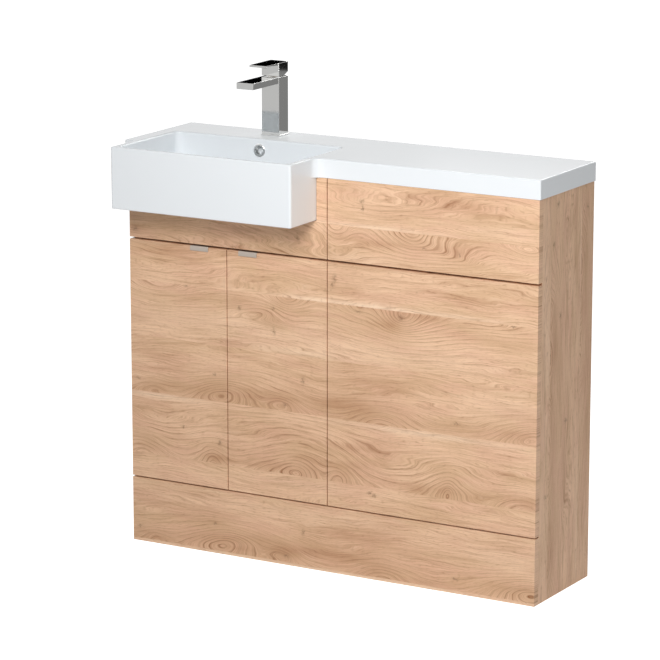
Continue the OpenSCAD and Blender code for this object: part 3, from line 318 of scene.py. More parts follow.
def oak(name, look, sizes, along, across, decor):
    """Melamine board with a printed oak decor in staves: warm and matt, with arched lines and fine fibres.

    Along and across are the object's axes that its grain and its staves follow. The growth lines are contours
    of a field that rises across the grain and swells at each figure, and the fibres follow the same field.
    """
    material, tree, shader = surface(name, {"Specular IOR Level": 0.35})
    place = add(tree, "ShaderNodeTexCoord", out="Object")
    axes = [add(tree, "ShaderNodeSeparateXYZ", (place,), out=i) for i in range(3)]

    u = add(tree, "ShaderNodeMath", (axes[along], 1 / MM), operation="MULTIPLY")
    v = 0.0
    for axis in across:
        v = add(tree, "ShaderNodeMath", (axes[axis], 1 / MM, v), operation="MULTIPLY_ADD")
    row = 0.0
    for seam in decor["seams"]:
        above = add(tree, "ShaderNodeMath", (v, seam), operation="GREATER_THAN")
        row = add(tree, "ShaderNodeMath", (row, above), operation="ADD")
    # Each stave takes its own stretch of the pattern, so that noise and figures end at its seams
    u = add(tree, "ShaderNodeMath", (row, ROW, u), operation="MULTIPLY_ADD")
    spot = add(tree, "ShaderNodeCombineXYZ", (u, v))

    def streaks(at, size, cut, levels, detail=1.0, roughness=0.5, shift=0.0):
        """Soft streaks of a size in millimetres: the noise between the two cuts gives the two levels."""
        step = (1 / size[0], 1 / size[1], 0)
        scaled = add(tree, "ShaderNodeVectorMath", (at, step, (shift, shift, 0)), operation="MULTIPLY_ADD")
        wave = add(
            tree,
            "ShaderNodeTexNoise",
            {"Vector": scaled, "Scale": 1.0, "Detail": detail, "Roughness": roughness},
            noise_dimensions="2D",
        )
        return add(tree, "ShaderNodeMapRange", (wave, *cut, *levels))

    def bells(across_at, spots):
        """Bell-shaped swells at the spots, three in each vector."""
        us, vs = (add(tree, "ShaderNodeCombineXYZ", (value,) * 3) for value in across_at)
        made = []
        for first in range(0, len(spots), 3):
            trio = [*spots[first : first + 3], IDLE, IDLE][:3]
            factors = (ellipse(decor["seams"], *one[:4], *one[5:]) for one in trio)
            x_by_u, x_by_v, x_from, y_by_u, y_by_v, y_from = zip(*factors)
            x = add(tree, "ShaderNodeVectorMath", (us, x_by_u, x_from), operation="MULTIPLY_ADD")
            y = add(tree, "ShaderNodeVectorMath", (vs, y_by_v, y_from), operation="MULTIPLY_ADD")
            if any(x_by_v):
                x = add(tree, "ShaderNodeVectorMath", (vs, x_by_v, x), operation="MULTIPLY_ADD")
                y = add(tree, "ShaderNodeVectorMath", (us, y_by_u, y), operation="MULTIPLY_ADD")
            far = add(tree, "ShaderNodeVectorMath", (y, y, (1, 1, 1)), operation="MULTIPLY_ADD")
            far = add(tree, "ShaderNodeVectorMath", (x, x, far), operation="MULTIPLY_ADD")
            far = add(tree, "ShaderNodeVectorMath", (far, far), operation="MULTIPLY")
            made.append(add(tree, "ShaderNodeVectorMath", ((1, 1, 1), far), operation="DIVIDE"))
        return made

    def total(start, swells, weights):
        """The start value plus each swell times its weight."""
        for k, swell in enumerate(swells):
            trio = (*weights[3 * k : 3 * k + 3], 0, 0)[:3]
            part = add(tree, "ShaderNodeVectorMath", (swell, trio), out="Value", operation="DOT_PRODUCT")
            start = add(tree, "ShaderNodeMath", (start, part), operation="ADD")
        return start

    figures = bells((u, v), decor["figures"])
    turns = [figure[4] for figure in decor["figures"]]
    field = add(tree, "ShaderNodeMath", (v, 1 / sizes.ring), operation="MULTIPLY")
    for bend in (
        streaks(spot, (520, 110), (0, 1), (0, 4.0)),
        streaks(spot, (90, 20), (0, 1), (0, 0.75), 1.5, shift=17.3),
    ):
        field = add(tree, "ShaderNodeMath", (field, bend), operation="ADD")
    field = total(field, figures, turns)
    phase = add(tree, "ShaderNodeMath", (field,), operation="FRACT")
    line = add(tree, "ShaderNodeValToRGB", (phase,))
    ramp = line.node.color_ramp
    ramp.interpolation = "EASE"
    ramp.elements[0].color = ramp.elements[1].color = (0.5, 0.5, 0.5, 1)
    for at, level in ((0.08, 0.0), (0.50, 0.08), (0.78, 0.38), (0.92, 1.0)):
        ramp.elements.new(at).color = (level, level, level, 1)

    # The fibres lie along the field's contours
    across_lines = add(tree, "ShaderNodeMath", (field, sizes.ring), operation="MULTIPLY")
    fibres = add(tree, "ShaderNodeCombineXYZ", (u, across_lines))
    # Lines are strong at the figures and faint elsewhere, and broken along their run
    near = streaks(spot, (190, 40), (0.40, 0.68), (0.05, 0.26), shift=5.1)
    near = total(near, figures, [0.22 * math.sqrt(abs(turn)) for turn in turns])
    near = add(tree, "ShaderNodeMath", (near, 0.74), operation="MINIMUM")
    broken = streaks(fibres, (46, 7), (0.34, 0.60), (0.30, 1.0), shift=55.0)
    near = add(tree, "ShaderNodeMath", (near, broken), operation="MULTIPLY")
    dark = streaks(fibres, (95, sizes.fibre), (0.47, 0.76), (0.0, 0.40), 3.0, 0.66, shift=9.7)
    dark = add(tree, "ShaderNodeMath", (line, near, dark), operation="MULTIPLY_ADD")
    pores = streaks(fibres, (13, 1.9), (0.60, 0.74), (0.0, 0.20), shift=31.0)
    dark = add(tree, "ShaderNodeMath", (dark, pores), operation="ADD", use_clamp=True)
    pale = streaks(fibres, (95, sizes.fibre), (0.26, 0.46), (0.26, 0.0), 3.0, 0.66, shift=9.7)
    pale = total(pale, bells((u, v), decor["lights"]), [s[4] for s in decor["lights"]])
    shade = streaks(spot, (210, 26), (0.50, 0.72), (0.0, 0.22), 2.0, shift=63.0)
    shade = total(shade, bells((u, v), decor["shades"]), [s[4] for s in decor["shades"]])
    # Knots are small and ragged
    ragged = []
    for value, reach, shift in ((u, 6, 0.0), (v, 5, 77.0)):
        torn = streaks(spot, (6, 6), (0, 1), (-reach, reach), 2.0, shift=shift)
        ragged.append(add(tree, "ShaderNodeMath", (torn, value), operation="ADD"))
    core = total(0.0, bells(ragged, decor["knots"]), [KNOT] * len(decor["knots"]))

    base = rgba(look.oak_peach)
    for factor, tone in (
        (streaks(spot, (240, 50), (0.38, 0.64), (0.0, 1.0), 2.0, shift=3.3), look.oak_tan),
        (streaks(spot, (150, 34), (0.46, 0.68), (0.0, 0.8), 2.0, shift=41.0), look.oak_pink),
        (shade, look.oak_shade),
        (pale, look.oak_light),
        (dark, look.oak_ring),
        (core, look.oak_core),
    ):
        mixed = {0: factor, 6: base, 7: rgba(tone)}
        base = add(tree, "ShaderNodeMix", mixed, out=2, data_type="RGBA", clamp_factor=True)
    tree.links.new(base, shader.inputs["Base Color"])
    rough = add(tree, "ShaderNodeMapRange", (dark, 0.0, 1.0, 0.48, 0.60))
    tree.links.new(rough, shader.inputs["Roughness"])
    relief = {"Height": dark, "Distance": 0.06 * MM, "Strength": 0.5}
    bent = add(tree, "ShaderNodeBump", relief, invert=True)
    tree.links.new(bent, shader.inputs["Normal"])
    return material


def marble(look):
    """Cast marble resin under a moulded gel coat: an even, cool white, glossy, with the faintest waves."""
    values = {
        "Base Color": rgba(look.marble),
        "Roughness": 0.16,
        "Specular IOR Level": 0.15,
        "Coat Weight": 0.5,
        "Coat Roughness": 0.05,
    }
    material, tree, shader = surface("Gloss white gel coat", values)
    place = add(tree, "ShaderNodeTexCoord", out="Object")
    wave = add(tree, "ShaderNodeTexNoise", {"Vector": place, "Scale": 1 / (111 * MM), "Detail": 1.0})
    bent = add(tree, "ShaderNodeBump", {"Height": wave, "Distance": 0.25 * MM, "Strength": 0.3})
    tree.links.new(bent, shader.inputs["Normal"])
    return material


def satin(look):
    """Nickel-plated zinc, brushed along the handle: a warm grey whose highlight is drawn out across it."""
    material, tree, shader = surface("Satin nickel", {"Base Color": rgba(look.nickel), "Metallic": 1.0})
    place = add(tree, "ShaderNodeTexCoord", out="Object")
    # Brush strokes of 16.7 mm by 0.25 mm, coarser than real ones, so that they show
    strokes = (1 / (16.7 * MM), 1 / (0.25 * MM), 1 / (0.25 * MM))
    fine = add(tree, "ShaderNodeMapping", {"Vector": place, "Scale": strokes})
    brush = add(tree, "ShaderNodeTexNoise", {"Vector": fine, "Scale": 1.0, "Detail": 2.0})
    rough = add(tree, "ShaderNodeMapRange", {"Value": brush, "To Min": 0.34, "To Max": 0.50})
    tree.links.new(rough, shader.inputs["Roughness"])
    bent = add(tree, "ShaderNodeBump", {"Height": brush, "Distance": 0.01 * MM, "Strength": 0.4})
    tree.links.new(bent, shader.inputs["Normal"])
    return material


# The printed boards: the axes that the grain and the staves follow, and the decor
PRINTED = {
    # One continuous sheet over both doors and the toilet unit's panel
    "Oak decor of the doors": (0, (2,), DOORS),
    "Oak decor of the fascias": (0, (2,), FASCIAS),
    "Oak decor of the plinth": (0, (2,), PLINTH),
    "Oak decor of the sides": (2, (1,), SIDES),
    "Oak decor of inner boards": (0, (1, 2), INNER),
}
# The plain finishes by their colour: name, roughness, metallic, and bump and grain in millimetres
PLAIN = {
    # Melamine band glued to the cut edges: the decor's mean colour, a little dull
    "oak_edge": ("Oak edging band", 0.5, 0.0, 0.03, 2.5),
    # Plated and polished brass: a mirror of the room, dark and bright, hardly blurred
    "chrome": ("Polished chrome", 0.06, 1.0, 0.0, 16.7),
    # Barrel-plated pressed steel: half-dull grey with a fine grain
    "zinc": ("Zinc-plated steel", 0.34, 1.0, 0.01, 1.11),
    # Injection-moulded polyamide: even grey with a soft sheen
    "nylon": ("Grey moulded nylon", 0.45, 0.0, 0.02, 1.11),
    # Moulded vinyl: matt off-white
    "white": ("Soft white plastic", 0.5, 0.0, 0.02, 1.11),
    # Moulded nitrile: deep black with no clear highlight
    "rubber": ("Black rubber", 0.7, 0.0, 0.03, 1.11),
    # Turned and left bare: yellow with a blurred highlight
    "brass": ("Machined brass", 0.3, 1.0, 0.01, 1.11),
    # Moulded acetal: warm ivory with a low sheen
    "ivory": ("Cartridge plastic", 0.4, 0.0, 0.01, 1.11),
    # Turned beech without a finish: pale and dull, with coarse fibres
    "beech": ("Beech dowel", 0.6, 0.0, 0.05, 3.33),
}
MADE = {}


def finish(key):
    """A material by its key, made at first use."""
    look = bpy.context.scene.vanity_finishes
    if key not in MADE:
        if key in PRINTED:
            MADE[key] = oak(key, look, bpy.context.scene.vanity_sizes, *PRINTED[key])
        elif key in PLAIN:
            name, *values = PLAIN[key]
            MADE[key] = plain(name, getattr(look, key), *values)
        else:
            MADE[key] = {"marble": marble, "nickel": satin}[key](look)
    return MADE[key]


# Meshes


def merged(node):
    """A CAD node's mesh as one closed surface, its flat faces joined."""
    bm = bmesh.new()
    bm.from_mesh(NODES[node].data)
    bmesh.ops.remove_doubles(bm, verts=bm.verts, dist=0.002 * MM)
    bmesh.ops.dissolve_limit(bm, angle_limit=math.radians(0.5), verts=bm.verts, edges=bm.edges)
    return bm


def placed(source, node, *materials, name=""):
    """Makes the finished piece for a CAD node from a bmesh or a mesh; it rides with the node's body."""
    name = name or node.capitalize()
    if isinstance(source, bpy.types.Mesh):
        mesh = source
        mesh.name = name
    else:
        mesh = bpy.data.meshes.new(name)
        source.to_mesh(mesh)
        source.free()
    mesh.materials.clear()
    for key in materials:
        mesh.materials.append(finish(key))
    if len(mesh.polygons) == 0:
        raise RuntimeError(f"{name} has no faces")
    mesh.shade_smooth()
    mesh.set_sharp_from_angle(angle=math.radians(SHARP))
    piece = bpy.data.objects.new(name, mesh)
    bpy.context.scene.collection.objects.link(piece)
    steady = piece.modifiers.new("Even shading", "WEIGHTED_NORMAL")
    steady.keep_sharp = True
    steady.weight = 60
    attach(piece, BODY_OF[node])
    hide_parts(node)
    return piece


def bevel(bm, edges, radius, segments, **settings):
    size = radius * MM
    bmesh.ops.bevel(bm, geom=edges, offset=size, segments=segments, profile=0.5, affect="EDGES", **settings)


def round_edges(bm, radius, segments, shortest):
    """Rounds the sharp edges longer than the shortest length, all in millimetres."""
    chosen = [
        e
        for e in bm.edges
        if len(e.link_faces) == 2
        and e.calc_face_angle(0) > math.radians(ROUNDED)
        and e.calc_length() > shortest * MM
    ]
    bevel(bm, chosen, radius, segments, loop_slide=True)


def softened(node, radius, segments, shortest, key):
    """The CAD node's own shape with its longer edges rounded."""
    bm = merged(node)
    round_edges(bm, radius, segments, shortest)
    return placed(bm, node, key)


def board(node, decor, radius):
    """A board: the decor on its two broad faces, the edging band around them."""
    bm = merged(node)
    round_edges(bm, radius, 2, 6)
    low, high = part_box(node)
    size = high - low
    thin = min(range(3), key=lambda i: size[i])
    broad = 0.6
    for face in bm.faces:
        face.normal_update()
        face.material_index = 0 if abs(face.normal[thin]) > broad else 1
    return placed(bm, node, decor, "oak_edge")


def lathe(profile, centre, axis="Z", steps=72):
    """A turned part: (radius, height) pairs in millimetres around an axis through centre."""
    bm = bmesh.new()
    turns = [2 * math.pi * i / steps for i in range(steps)]
    rings = []
    for radius, height in profile:
        around = [(math.cos(t), math.sin(t)) for t in turns] if radius else [(0, 0)]
        rings.append([bm.verts.new((radius * MM * x, radius * MM * y, height * MM)) for x, y in around])
    for low, high in zip(rings, rings[1:]):
        for i in range(steps):
            j = (i + 1) % steps
            corners = [low[i % len(low)], low[j % len(low)], high[j % len(high)], high[i % len(high)]]
            kept = list(dict.fromkeys(corners))
            if len(kept) > 2:
                bm.faces.new(kept)
    bmesh.ops.recalc_face_normals(bm, faces=bm.faces)
    if axis == "Y":
        bmesh.ops.rotate(bm, verts=bm.verts, matrix=Matrix.Rotation(math.radians(-90), 3, "X"))
    bmesh.ops.translate(bm, verts=bm.verts, vec=Vector(centre) * MM)
    return bm


def loft(loops):
    """A closed surface through loops of equally many points, in millimetres."""
    bm = bmesh.new()
    rows = [[bm.verts.new(Vector(p) * MM) for p in loop] for loop in loops]
    count = len(rows[0])
    for low, high in zip(rows, rows[1:]):
        for i in range(count):
            j = (i + 1) % count
            bm.faces.new((low[i], low[j], high[j], high[i]))
    bm.faces.new(reversed(rows[0]))
    bm.faces.new(rows[-1])
    bmesh.ops.recalc_face_normals(bm, faces=bm.faces)
    return bm


def as_object(bm, name):
    mesh = bpy.data.meshes.new(name)
    bm.to_mesh(mesh)
    bm.free()
    made = bpy.data.objects.new(name, mesh)
    bpy.context.scene.collection.objects.link(made)
    return made


def combined(base, steps):
    """The mesh of base after boolean steps of (operation, other); all the objects used are removed."""
    for number, (operation, other) in enumerate(steps):
        change = base.modifiers.new(f"Step {number}", "BOOLEAN")
        change.operation = operation
        change.solver = "EXACT"
        change.object = other
        other.hide_render = True
    bpy.context.view_layer.update()
    graph = bpy.context.evaluated_depsgraph_get()
    mesh = bpy.data.meshes.new_from_object(base.evaluated_get(graph))
    for thing in [base] + [other for _, other in steps]:
        data = thing.data
        bpy.data.objects.remove(thing)
        bpy.data.meshes.remove(data)
    return mesh


def rounded_box(name, low, high, radius, segments, only=None):
    """A box in millimetres with its edges rounded, or only those that the test takes."""
    bm = bmesh.new()
    bmesh.ops.create_cube(bm, size=1.0)
    low, high = Vector(low) * MM, Vector(high) * MM
    for vert in bm.verts:
        vert.co = Vector(low[i] + (vert.co[i] + 0.5) * (high[i] - low[i]) for i in range(3))
    bevel(bm, [e for e in bm.edges if only is None or only(e)], radius, segments, clamp_overlap=True)
    return as_object(bm, name)


# The moulded top, in millimetres, as in the construction

SLAB = {"x0": -502.5, "x1": 502.5, "y0": -76.6, "y1": 180.0, "z0": 864.0, "z1": 905.5, "left_y": -87.0}
BOWL = {"x0": -477.5, "x1": -27.5, "y0": -180.0, "y1": 90.0, "z0": 770.0}
TUB = {"x0": -463.5, "x1": -41.5, "y0": -170.0, "y1": 66.0, "floor": 790.5}
WASTE = {"x": -252.5, "y": 10.0, "low": 785.5, "seat": 783.0, "recess": 33.5, "hole": 22.55}
TAP = {"x": -252.5, "y": 132.0, "hole": 17.5}
OVERFLOW = {"x": -252.5, "y": 66.0, "z": 880.0, "bore": 11.0}
# Hollows under the slab, in plan, and the overflow's way down and forward, with the rounding of its edges
POCKETS = (((-490.5, 90.01), (-12, 168)), ((12, -63), (490.5, 168)))
CHANNELS = (((-264.5, 75, 774), (-240.5, 83, 891), 1.5), ((-264.5, 12, 774), (-240.5, 80, 779), 1.0))


def arc(x, y, radius, start, end, steps):
    """Points of an arc around (x, y), from one angle to the other in degrees."""
    turns = [math.radians(start + (end - start) * i / steps) for i in range(steps + 1)]
    return [(x + radius * math.cos(t), y + radius * math.sin(t)) for t in turns]


def slab_outline(corner):
    """Plan of the slab and the bowl's overhang, anticlockwise, in millimetres."""
    fillet, cut, right = 20.0, 0.6, corner * 0.6
    points = arc(SLAB["x0"] + corner, SLAB["left_y"] + corner, corner, 180, 270, 4)
    points += [(BOWL["x0"] - cut, SLAB["left_y"]), (BOWL["x0"], SLAB["left_y"] - cut)]
    points += arc(BOWL["x0"] + corner, BOWL["y0"] + corner, corner, 180, 270, 6)
    points += arc(BOWL["x1"] - corner, BOWL["y0"] + corner, corner, 270, 360, 6)
    points += arc(BOWL["x1"] + fillet, SLAB["y0"] - fillet, fillet, 180, 90, 8)
    points += arc(SLAB["x1"] - right, SLAB["y0"] + right, right, 270, 360, 4)
    points += [(SLAB["x1"], SLAB["y1"]), (SLAB["x0"], SLAB["y1"])]
    return points


def slab_body(sizes):
    """The slab, from under its rim to its top, with rounded outer edges."""
    outline = slab_outline(sizes.bowl_edge)
    bm = loft([[(x, y, z) for x, y in outline] for z in (SLAB["z0"], SLAB["z1"])])

    def rim(z):
        return [
            e
            for e in bm.edges
            if all(abs(v.co.z - z * MM) < SAME for v in e.verts)
            and not all(abs(v.co.y - SLAB["y1"] * MM) < SAME for v in e.verts)
        ]

    for z, radius, segments in ((SLAB["z1"], sizes.slab_edge, 4), (SLAB["z0"], sizes.slab_low, 2)):
        bevel(bm, rim(z), radius, segments)
    return as_object(bm, "slab body")


def bowl_body(sizes):
    """The bowl's block, its upright front corners and lower edges rounded."""
    loops = []
    # How far the outline is drawn in at each height over the bowl's underside
    for inset, rise in ((3.0, 0.0), (1.5, 0.4), (0.4, 1.5), (0.0, 3.0), (0.0, 118.0)):
        # A hair inside the slab's faces, so that no two of them share a plane
        off = inset + 0.02
        corner = sizes.bowl_edge - min(inset, sizes.bowl_edge - 1)
        left, right = BOWL["x0"] + off, BOWL["x1"] - off
        front, rear = BOWL["y0"] + off, BOWL["y1"] - off
        points = arc(left + corner, front + corner, corner, 180, 270, 6)
        points += arc(right - corner, front + corner, corner, 270, 360, 6)
        points += [(right, rear), (left, rear)]
        loops.append([(x, y, BOWL["z0"] + rise) for x, y in points])
    return as_object(loft(loops), "bowl body")


def tub_loop(corner, inset, z):
    """The bowl's inner outline at one height, drawn in by the inset, anticlockwise from its right side."""
    radius = max(corner - inset, 0.6)
    x0, x1 = TUB["x0"] + inset + radius, TUB["x1"] - inset - radius
    y0, y1 = TUB["y0"] + inset + radius, TUB["y1"] - inset - radius
    loop = []
    # Each corner's arc, then the straight run after it in steps of about 24 mm
    for x, y, start, run_x, run_y, steps in (
        (x1, y1, 0, x0 - x1, 0, 16),
        (x0, y1, 90, 0, y0 - y1, 9),
        (x0, y0, 180, x1 - x0, 0, 16),
        (x1, y0, 270, 0, y1 - y0, 9),
    ):
        loop += arc(x, y, radius, start, start + 90, 8)
        from_x, from_y = loop[-1]
        loop += [(from_x + run_x * k / steps, from_y + run_y * k / steps) for k in range(1, steps)]
    return [(x, y, z) for x, y in loop]


def tub_cutter(sizes):
    """The bowl's inside: rim, walls, cove, a floor that falls to the waste, the waste's seat and hole."""
    rim, cove, corner, top, floor = sizes.rim_edge, sizes.cove, sizes.bowl_corner, SLAB["z1"], TUB["floor"]
    loops = [tub_loop(corner, -rim - 0.6, top + 3.0)]
    for i in range(7):
        t = math.radians(82 - 82 * i / 6)
        loops.append(tub_loop(corner, -rim * (1 - math.cos(t)), top - rim * (1 - math.sin(t))))
    for i in range(8):
        t = math.radians(90 * i / 7)
        loops.append(tub_loop(corner, cove * (1 - math.cos(t)), floor + cove * (1 - math.sin(t))))
    edge = loops[-1]

    def circle(radius, z):
        aims = [math.atan2(y - WASTE["y"], x - WASTE["x"]) for x, y, _ in edge]
        return [(WASTE["x"] + radius * math.cos(t), WASTE["y"] + radius * math.sin(t), z) for t in aims]

    recess, hole, low, seat = (WASTE[key] for key in ("recess", "hole", "low", "seat"))
    inner = circle(recess + 2.0, low)
    for share in (0.15, 0.35, 0.55, 0.75, 0.9, 1.0):
        fall = floor + (low - floor) * share**1.4
        pairs = zip(edge, inner)
        loops.append([(a[0] + (b[0] - a[0]) * share, a[1] + (b[1] - a[1]) * share, fall) for a, b in pairs])
    for radius, z in (
        (recess + 0.6, low - 0.4),
        (recess, low - 1.4),
        (recess, seat),
        (hole, seat),
        (hole, BOWL["z0"] - 4),
    ):
        loops.append(circle(radius, z))
    return as_object(loft(loops), "tub cutter")


def build_top(sizes):
    """The slab and the bowl in one, hollowed from below, with the tub and its holes."""
    roof, under, bore = SLAB["z1"] - 16, SLAB["z0"] - 120, OVERFLOW["bore"]

    def upright(edge):
        return abs(edge.verts[0].co.z - edge.verts[1].co.z) > 0.1 * MM

    drill = [(0, -40), (TAP["hole"], -40), (TAP["hole"], 20), (0, 20)]
    tap_hole = lathe(drill, (TAP["x"], TAP["y"], SLAB["z1"]))
    mouth = [(0, -2), (bore + 1.2, -2), (bore, 1.0), (bore, 10.0), (0, 10.0)]
    overflow = lathe(mouth, (OVERFLOW["x"], OVERFLOW["y"], OVERFLOW["z"]), axis="Y")
    cutters = [
        *(rounded_box("pocket", (*low, under), (*high, roof), 5, 3, upright) for low, high in POCKETS),
        tub_cutter(sizes),
        as_object(tap_hole, "tap hole"),
        as_object(overflow, "overflow hole"),
        *(rounded_box("channel", low, high, radius, 2) for low, high, radius in CHANNELS),
    ]
    steps = [("UNION", bowl_body(sizes))] + [("DIFFERENCE", cutter) for cutter in cutters]
    return placed(combined(slab_body(sizes), steps), "basin_top", "marble", name="Moulded_top")


# Screw heads, cams and bolts


def unit_head(kind):
    """A screw head of radius 1 and height 1 mm, on its seat, with a cross or hexagon recess."""
    profiles = {
        "pan": [(0, 0), (1, 0), (1, 0.35), (0.93, 0.68), (0.74, 0.9), (0.4, 1.0), (0, 1.0)],
        "flat": [(0, -1.4), (0.45, -1.4), (1, -0.12), (1, 0.0), (0.9, 0.06), (0, 0.08)],
        "cam": [(0, -0.4), (1, -0.4), (1, 0.12), (0.94, 0.2), (0, 0.2)],
        "bolt": [(0, 0), (1, 0), (1, 0.6), (0.95, 0.9), (0.85, 1.0), (0, 1.0)],
    }
    base = as_object(lathe(profiles[kind], (0, 0, 0), steps=32), "head")
    if kind == "bolt":
        tool = as_object(lathe([(0, 0.25), (0.45, 0.25), (0.45, 2), (0, 2)], (0, 0, 0), steps=6), "recess")
        return combined(base, [("DIFFERENCE", tool)])
    reach, deep = {"pan": (0.62, 0.45), "flat": (0.62, -0.75), "cam": (0.42, -0.1)}[kind]
    steps = []
    for wide, long in ((0.12, reach), (reach, 0.12)):
        loops = [
            [(x * wide * taper, y * long * taper, z) for x, y in ((-1, -1), (1, -1), (1, 1), (-1, 1))]
            for taper, z in ((0.55, deep), (1.0, 1.6))
        ]
        steps.append(("DIFFERENCE", as_object(loft(loops), "recess")))
    return combined(base, steps)


def islands(node):
    """The corner points of each separate solid of a node."""
    bm = merged(node)
    left = set(bm.verts)
    found = []
    while left:
        stack, group = [left.pop()], []
        while stack:
            vert = stack.pop()
            group.append(vert)
            for edge in vert.link_edges:
                other = edge.other_vert(vert)
                if other in left:
                    left.remove(other)
                    stack.append(other)
        found.append(np.array([v.co[:] for v in group]))
    bm.free()
    return found


# How a head is told from its shank. In metres: points this near the axis are left out, a head lies within
# its reach of an end, and one lower than flat is countersunk. As shares of a radius: how much wider than
# the shank a head is, and which points are on its rim
HEAD = {"axis": 0.0005, "reach": 0.004, "flat": 0.0002, "wider": 1.25, "rim": 0.93}


def heads_of(points):
    """(place, direction, head radius, head height, shank radius) of each headed end of a turned solid."""
    low, high = points.min(0), points.max(0)
    axis = int(np.argmax(high - low))
    centre = (low + high) / 2
    across = [i for i in range(3) if i != axis]
    radius = np.hypot(points[:, across[0]] - centre[across[0]], points[:, across[1]] - centre[across[1]])
    big, small = radius.max(), radius[radius > HEAD["axis"]].min()
    if big < small * HEAD["wider"]:
        return []
    wide = points[radius > HEAD["rim"] * big][:, axis]
    out = []
    for end, sign in ((low[axis], -1), (high[axis], 1)):
        near = wide[np.abs(wide - end) < HEAD["reach"]]
        if len(near) == 0:
            continue
        seat = near.min() if sign > 0 else near.max()
        place, aim = centre.copy(), np.zeros(3)
        place[axis], aim[axis] = seat, sign
        out.append((place, aim, big, abs(end - seat), small))
    return out


def scatter_tree(title):
    """Geometry nodes: a head on every point, turned to its aim and scaled to its size, in one material."""
    tree = bpy.data.node_groups.new(title, "GeometryNodeTree")
    for name, way, kind in (
        ("Points", "INPUT", "NodeSocketGeometry"),
        ("Head", "INPUT", "NodeSocketObject"),
        ("Finish", "INPUT", "NodeSocketMaterial"),
        ("Heads", "OUTPUT", "NodeSocketGeometry"),
    ):
        tree.interface.new_socket(name, in_out=way, socket_type=kind)
    start = tree.nodes.new("NodeGroupInput")
    end = tree.nodes.new("NodeGroupOutput")
    head = add(tree, "GeometryNodeObjectInfo", {"Object": start.outputs["Head"]}, out="Geometry")
    aim = add(tree, "GeometryNodeInputNamedAttribute", {"Name": "aim"}, data_type="FLOAT_VECTOR")
    size = add(tree, "GeometryNodeInputNamedAttribute", {"Name": "size"}, data_type="FLOAT_VECTOR")
    turn = add(tree, "FunctionNodeAlignRotationToVector", {"Vector": aim}, axis="Z")
    heads = {"Points": start.outputs["Points"], "Instance": head, "Rotation": turn, "Scale": size}
    placed_heads = add(tree, "GeometryNodeInstanceOnPoints", heads)
    real = add(tree, "GeometryNodeRealizeInstances", {"Geometry": placed_heads})
    coloured = add(tree, "GeometryNodeSetMaterial", {"Geometry": real, "Material": start.outputs["Finish"]})
    tree.links.new(coloured, end.inputs["Heads"])
    return tree


def scatter(kind, spots, key):
    """One mesh of heads at the spots: (place, direction, radius, height) each."""
    head = bpy.data.objects.new("head " + kind, unit_head(kind))
    bpy.context.scene.collection.objects.link(head)
    mesh = bpy.data.meshes.new("spots")
    mesh.from_pydata([tuple(s[0]) for s in spots], [], [])
    for name, values in (
        ("aim", [tuple(s[1]) for s in spots]),
        ("size", [(s[2] / MM, s[2] / MM, s[3] / MM) for s in spots]),
    ):
        attribute = mesh.attributes.new(name, "FLOAT_VECTOR", "POINT")
        attribute.data.foreach_set("vector", np.array(values, np.float32).ravel())
    carrier = bpy.data.objects.new("spots", mesh)
    bpy.context.scene.collection.objects.link(carrier)
    change = carrier.modifiers.new("Heads", "NODES")
    change.node_group = tree = scatter_tree("Heads on points")
    sockets = {i.name: i.identifier for i in tree.interface.items_tree if i.in_out == "INPUT"}
    change[sockets["Head"]] = head
    change[sockets["Finish"]] = finish(key)
    bpy.context.view_layer.update()
    graph = bpy.context.evaluated_depsgraph_get()
    made = bpy.data.meshes.new_from_object(carrier.evaluated_get(graph))
    for thing in (carrier, head):
        bpy.data.objects.remove(thing)
    return made


def fasteners(node, kind, key="zinc"):
    """Screws of a node: modelled heads on the CAD node's own shanks."""
    spots, shanks = [], bmesh.new()
    for points in islands(node):
        heads = heads_of(points)
        low, high = Vector(points.min(0)), Vector(points.max(0))
        centre, size = (low + high) / 2, high - low
        axis = max(range(3), key=lambda i: size[i])
        narrow = heads[0][4] if heads else min(size[i] for i in range(3) if i != axis) / 2
        long = size[axis]
        for place, aim, big, tall, _ in heads:
            spots.append((place, aim, big, tall if tall > HEAD["flat"] else MM))
            long -= tall
            centre = centre - Vector(aim) * tall / 2
        turn = Matrix.Identity(4) if axis == 2 else Matrix.Rotation(math.radians(90), 4, "YX"[axis])
        bmesh.ops.create_cone(
            shanks,
            cap_ends=True,
            segments=20,
            radius1=narrow,
            radius2=narrow,
            depth=long - (0.4 * MM if heads else 0.0),
            matrix=Matrix.Translation(centre) @ turn,
        )
    if spots:
        shanks.from_mesh(scatter(kind, spots, key))
    return placed(shanks, node, key)


# Operators: one for each group of pieces, and one for the stage


class VANITY_OT_boards(bpy.types.Operator):
    """Builds every board of the cupboard and the toilet unit"""

    bl_idname = "vanity.boards"
    bl_label = "Boards"

    def execute(self, context):
        radius = context.scene.vanity_sizes.board_edge
        for decor, nodes in (
            ("Oak decor of the doors", ("left_door", "right_door", "wc_panel")),
            ("Oak decor of the fascias", ("basin_fascia", "wc_fascia")),
            ("Oak decor of the plinth", ("plinth",)),
            (
                "Oak decor of the sides",
                ("basin_left_side", "basin_right_side", "wc_left_side", "wc_right_side"),
            ),
            (
                "Oak decor of inner boards",
                ("basin_floor", "shelf", "basin_gap_rail", "basin_top_rail", "basin_low_rail")
                + ("wc_front_rail", "wc_gap_rail", "wc_low_rail", "wc_back_rail"),
            ),
        ):
            for node in nodes:
                board(node, decor, radius)
        return {"FINISHED"}


class VANITY_OT_top(bpy.types.Operator):
    """Builds the one-piece top with its bowl"""

    bl_idname = "vanity.top"
    bl_label = "Moulded top"

    def execute(self, context):
        build_top(context.scene.vanity_sizes)
        return {"FINISHED"}


# Part of a handle's lip, in millimetres: below this height and before this depth
LIP = {"below": 676.5, "before": -74.5}


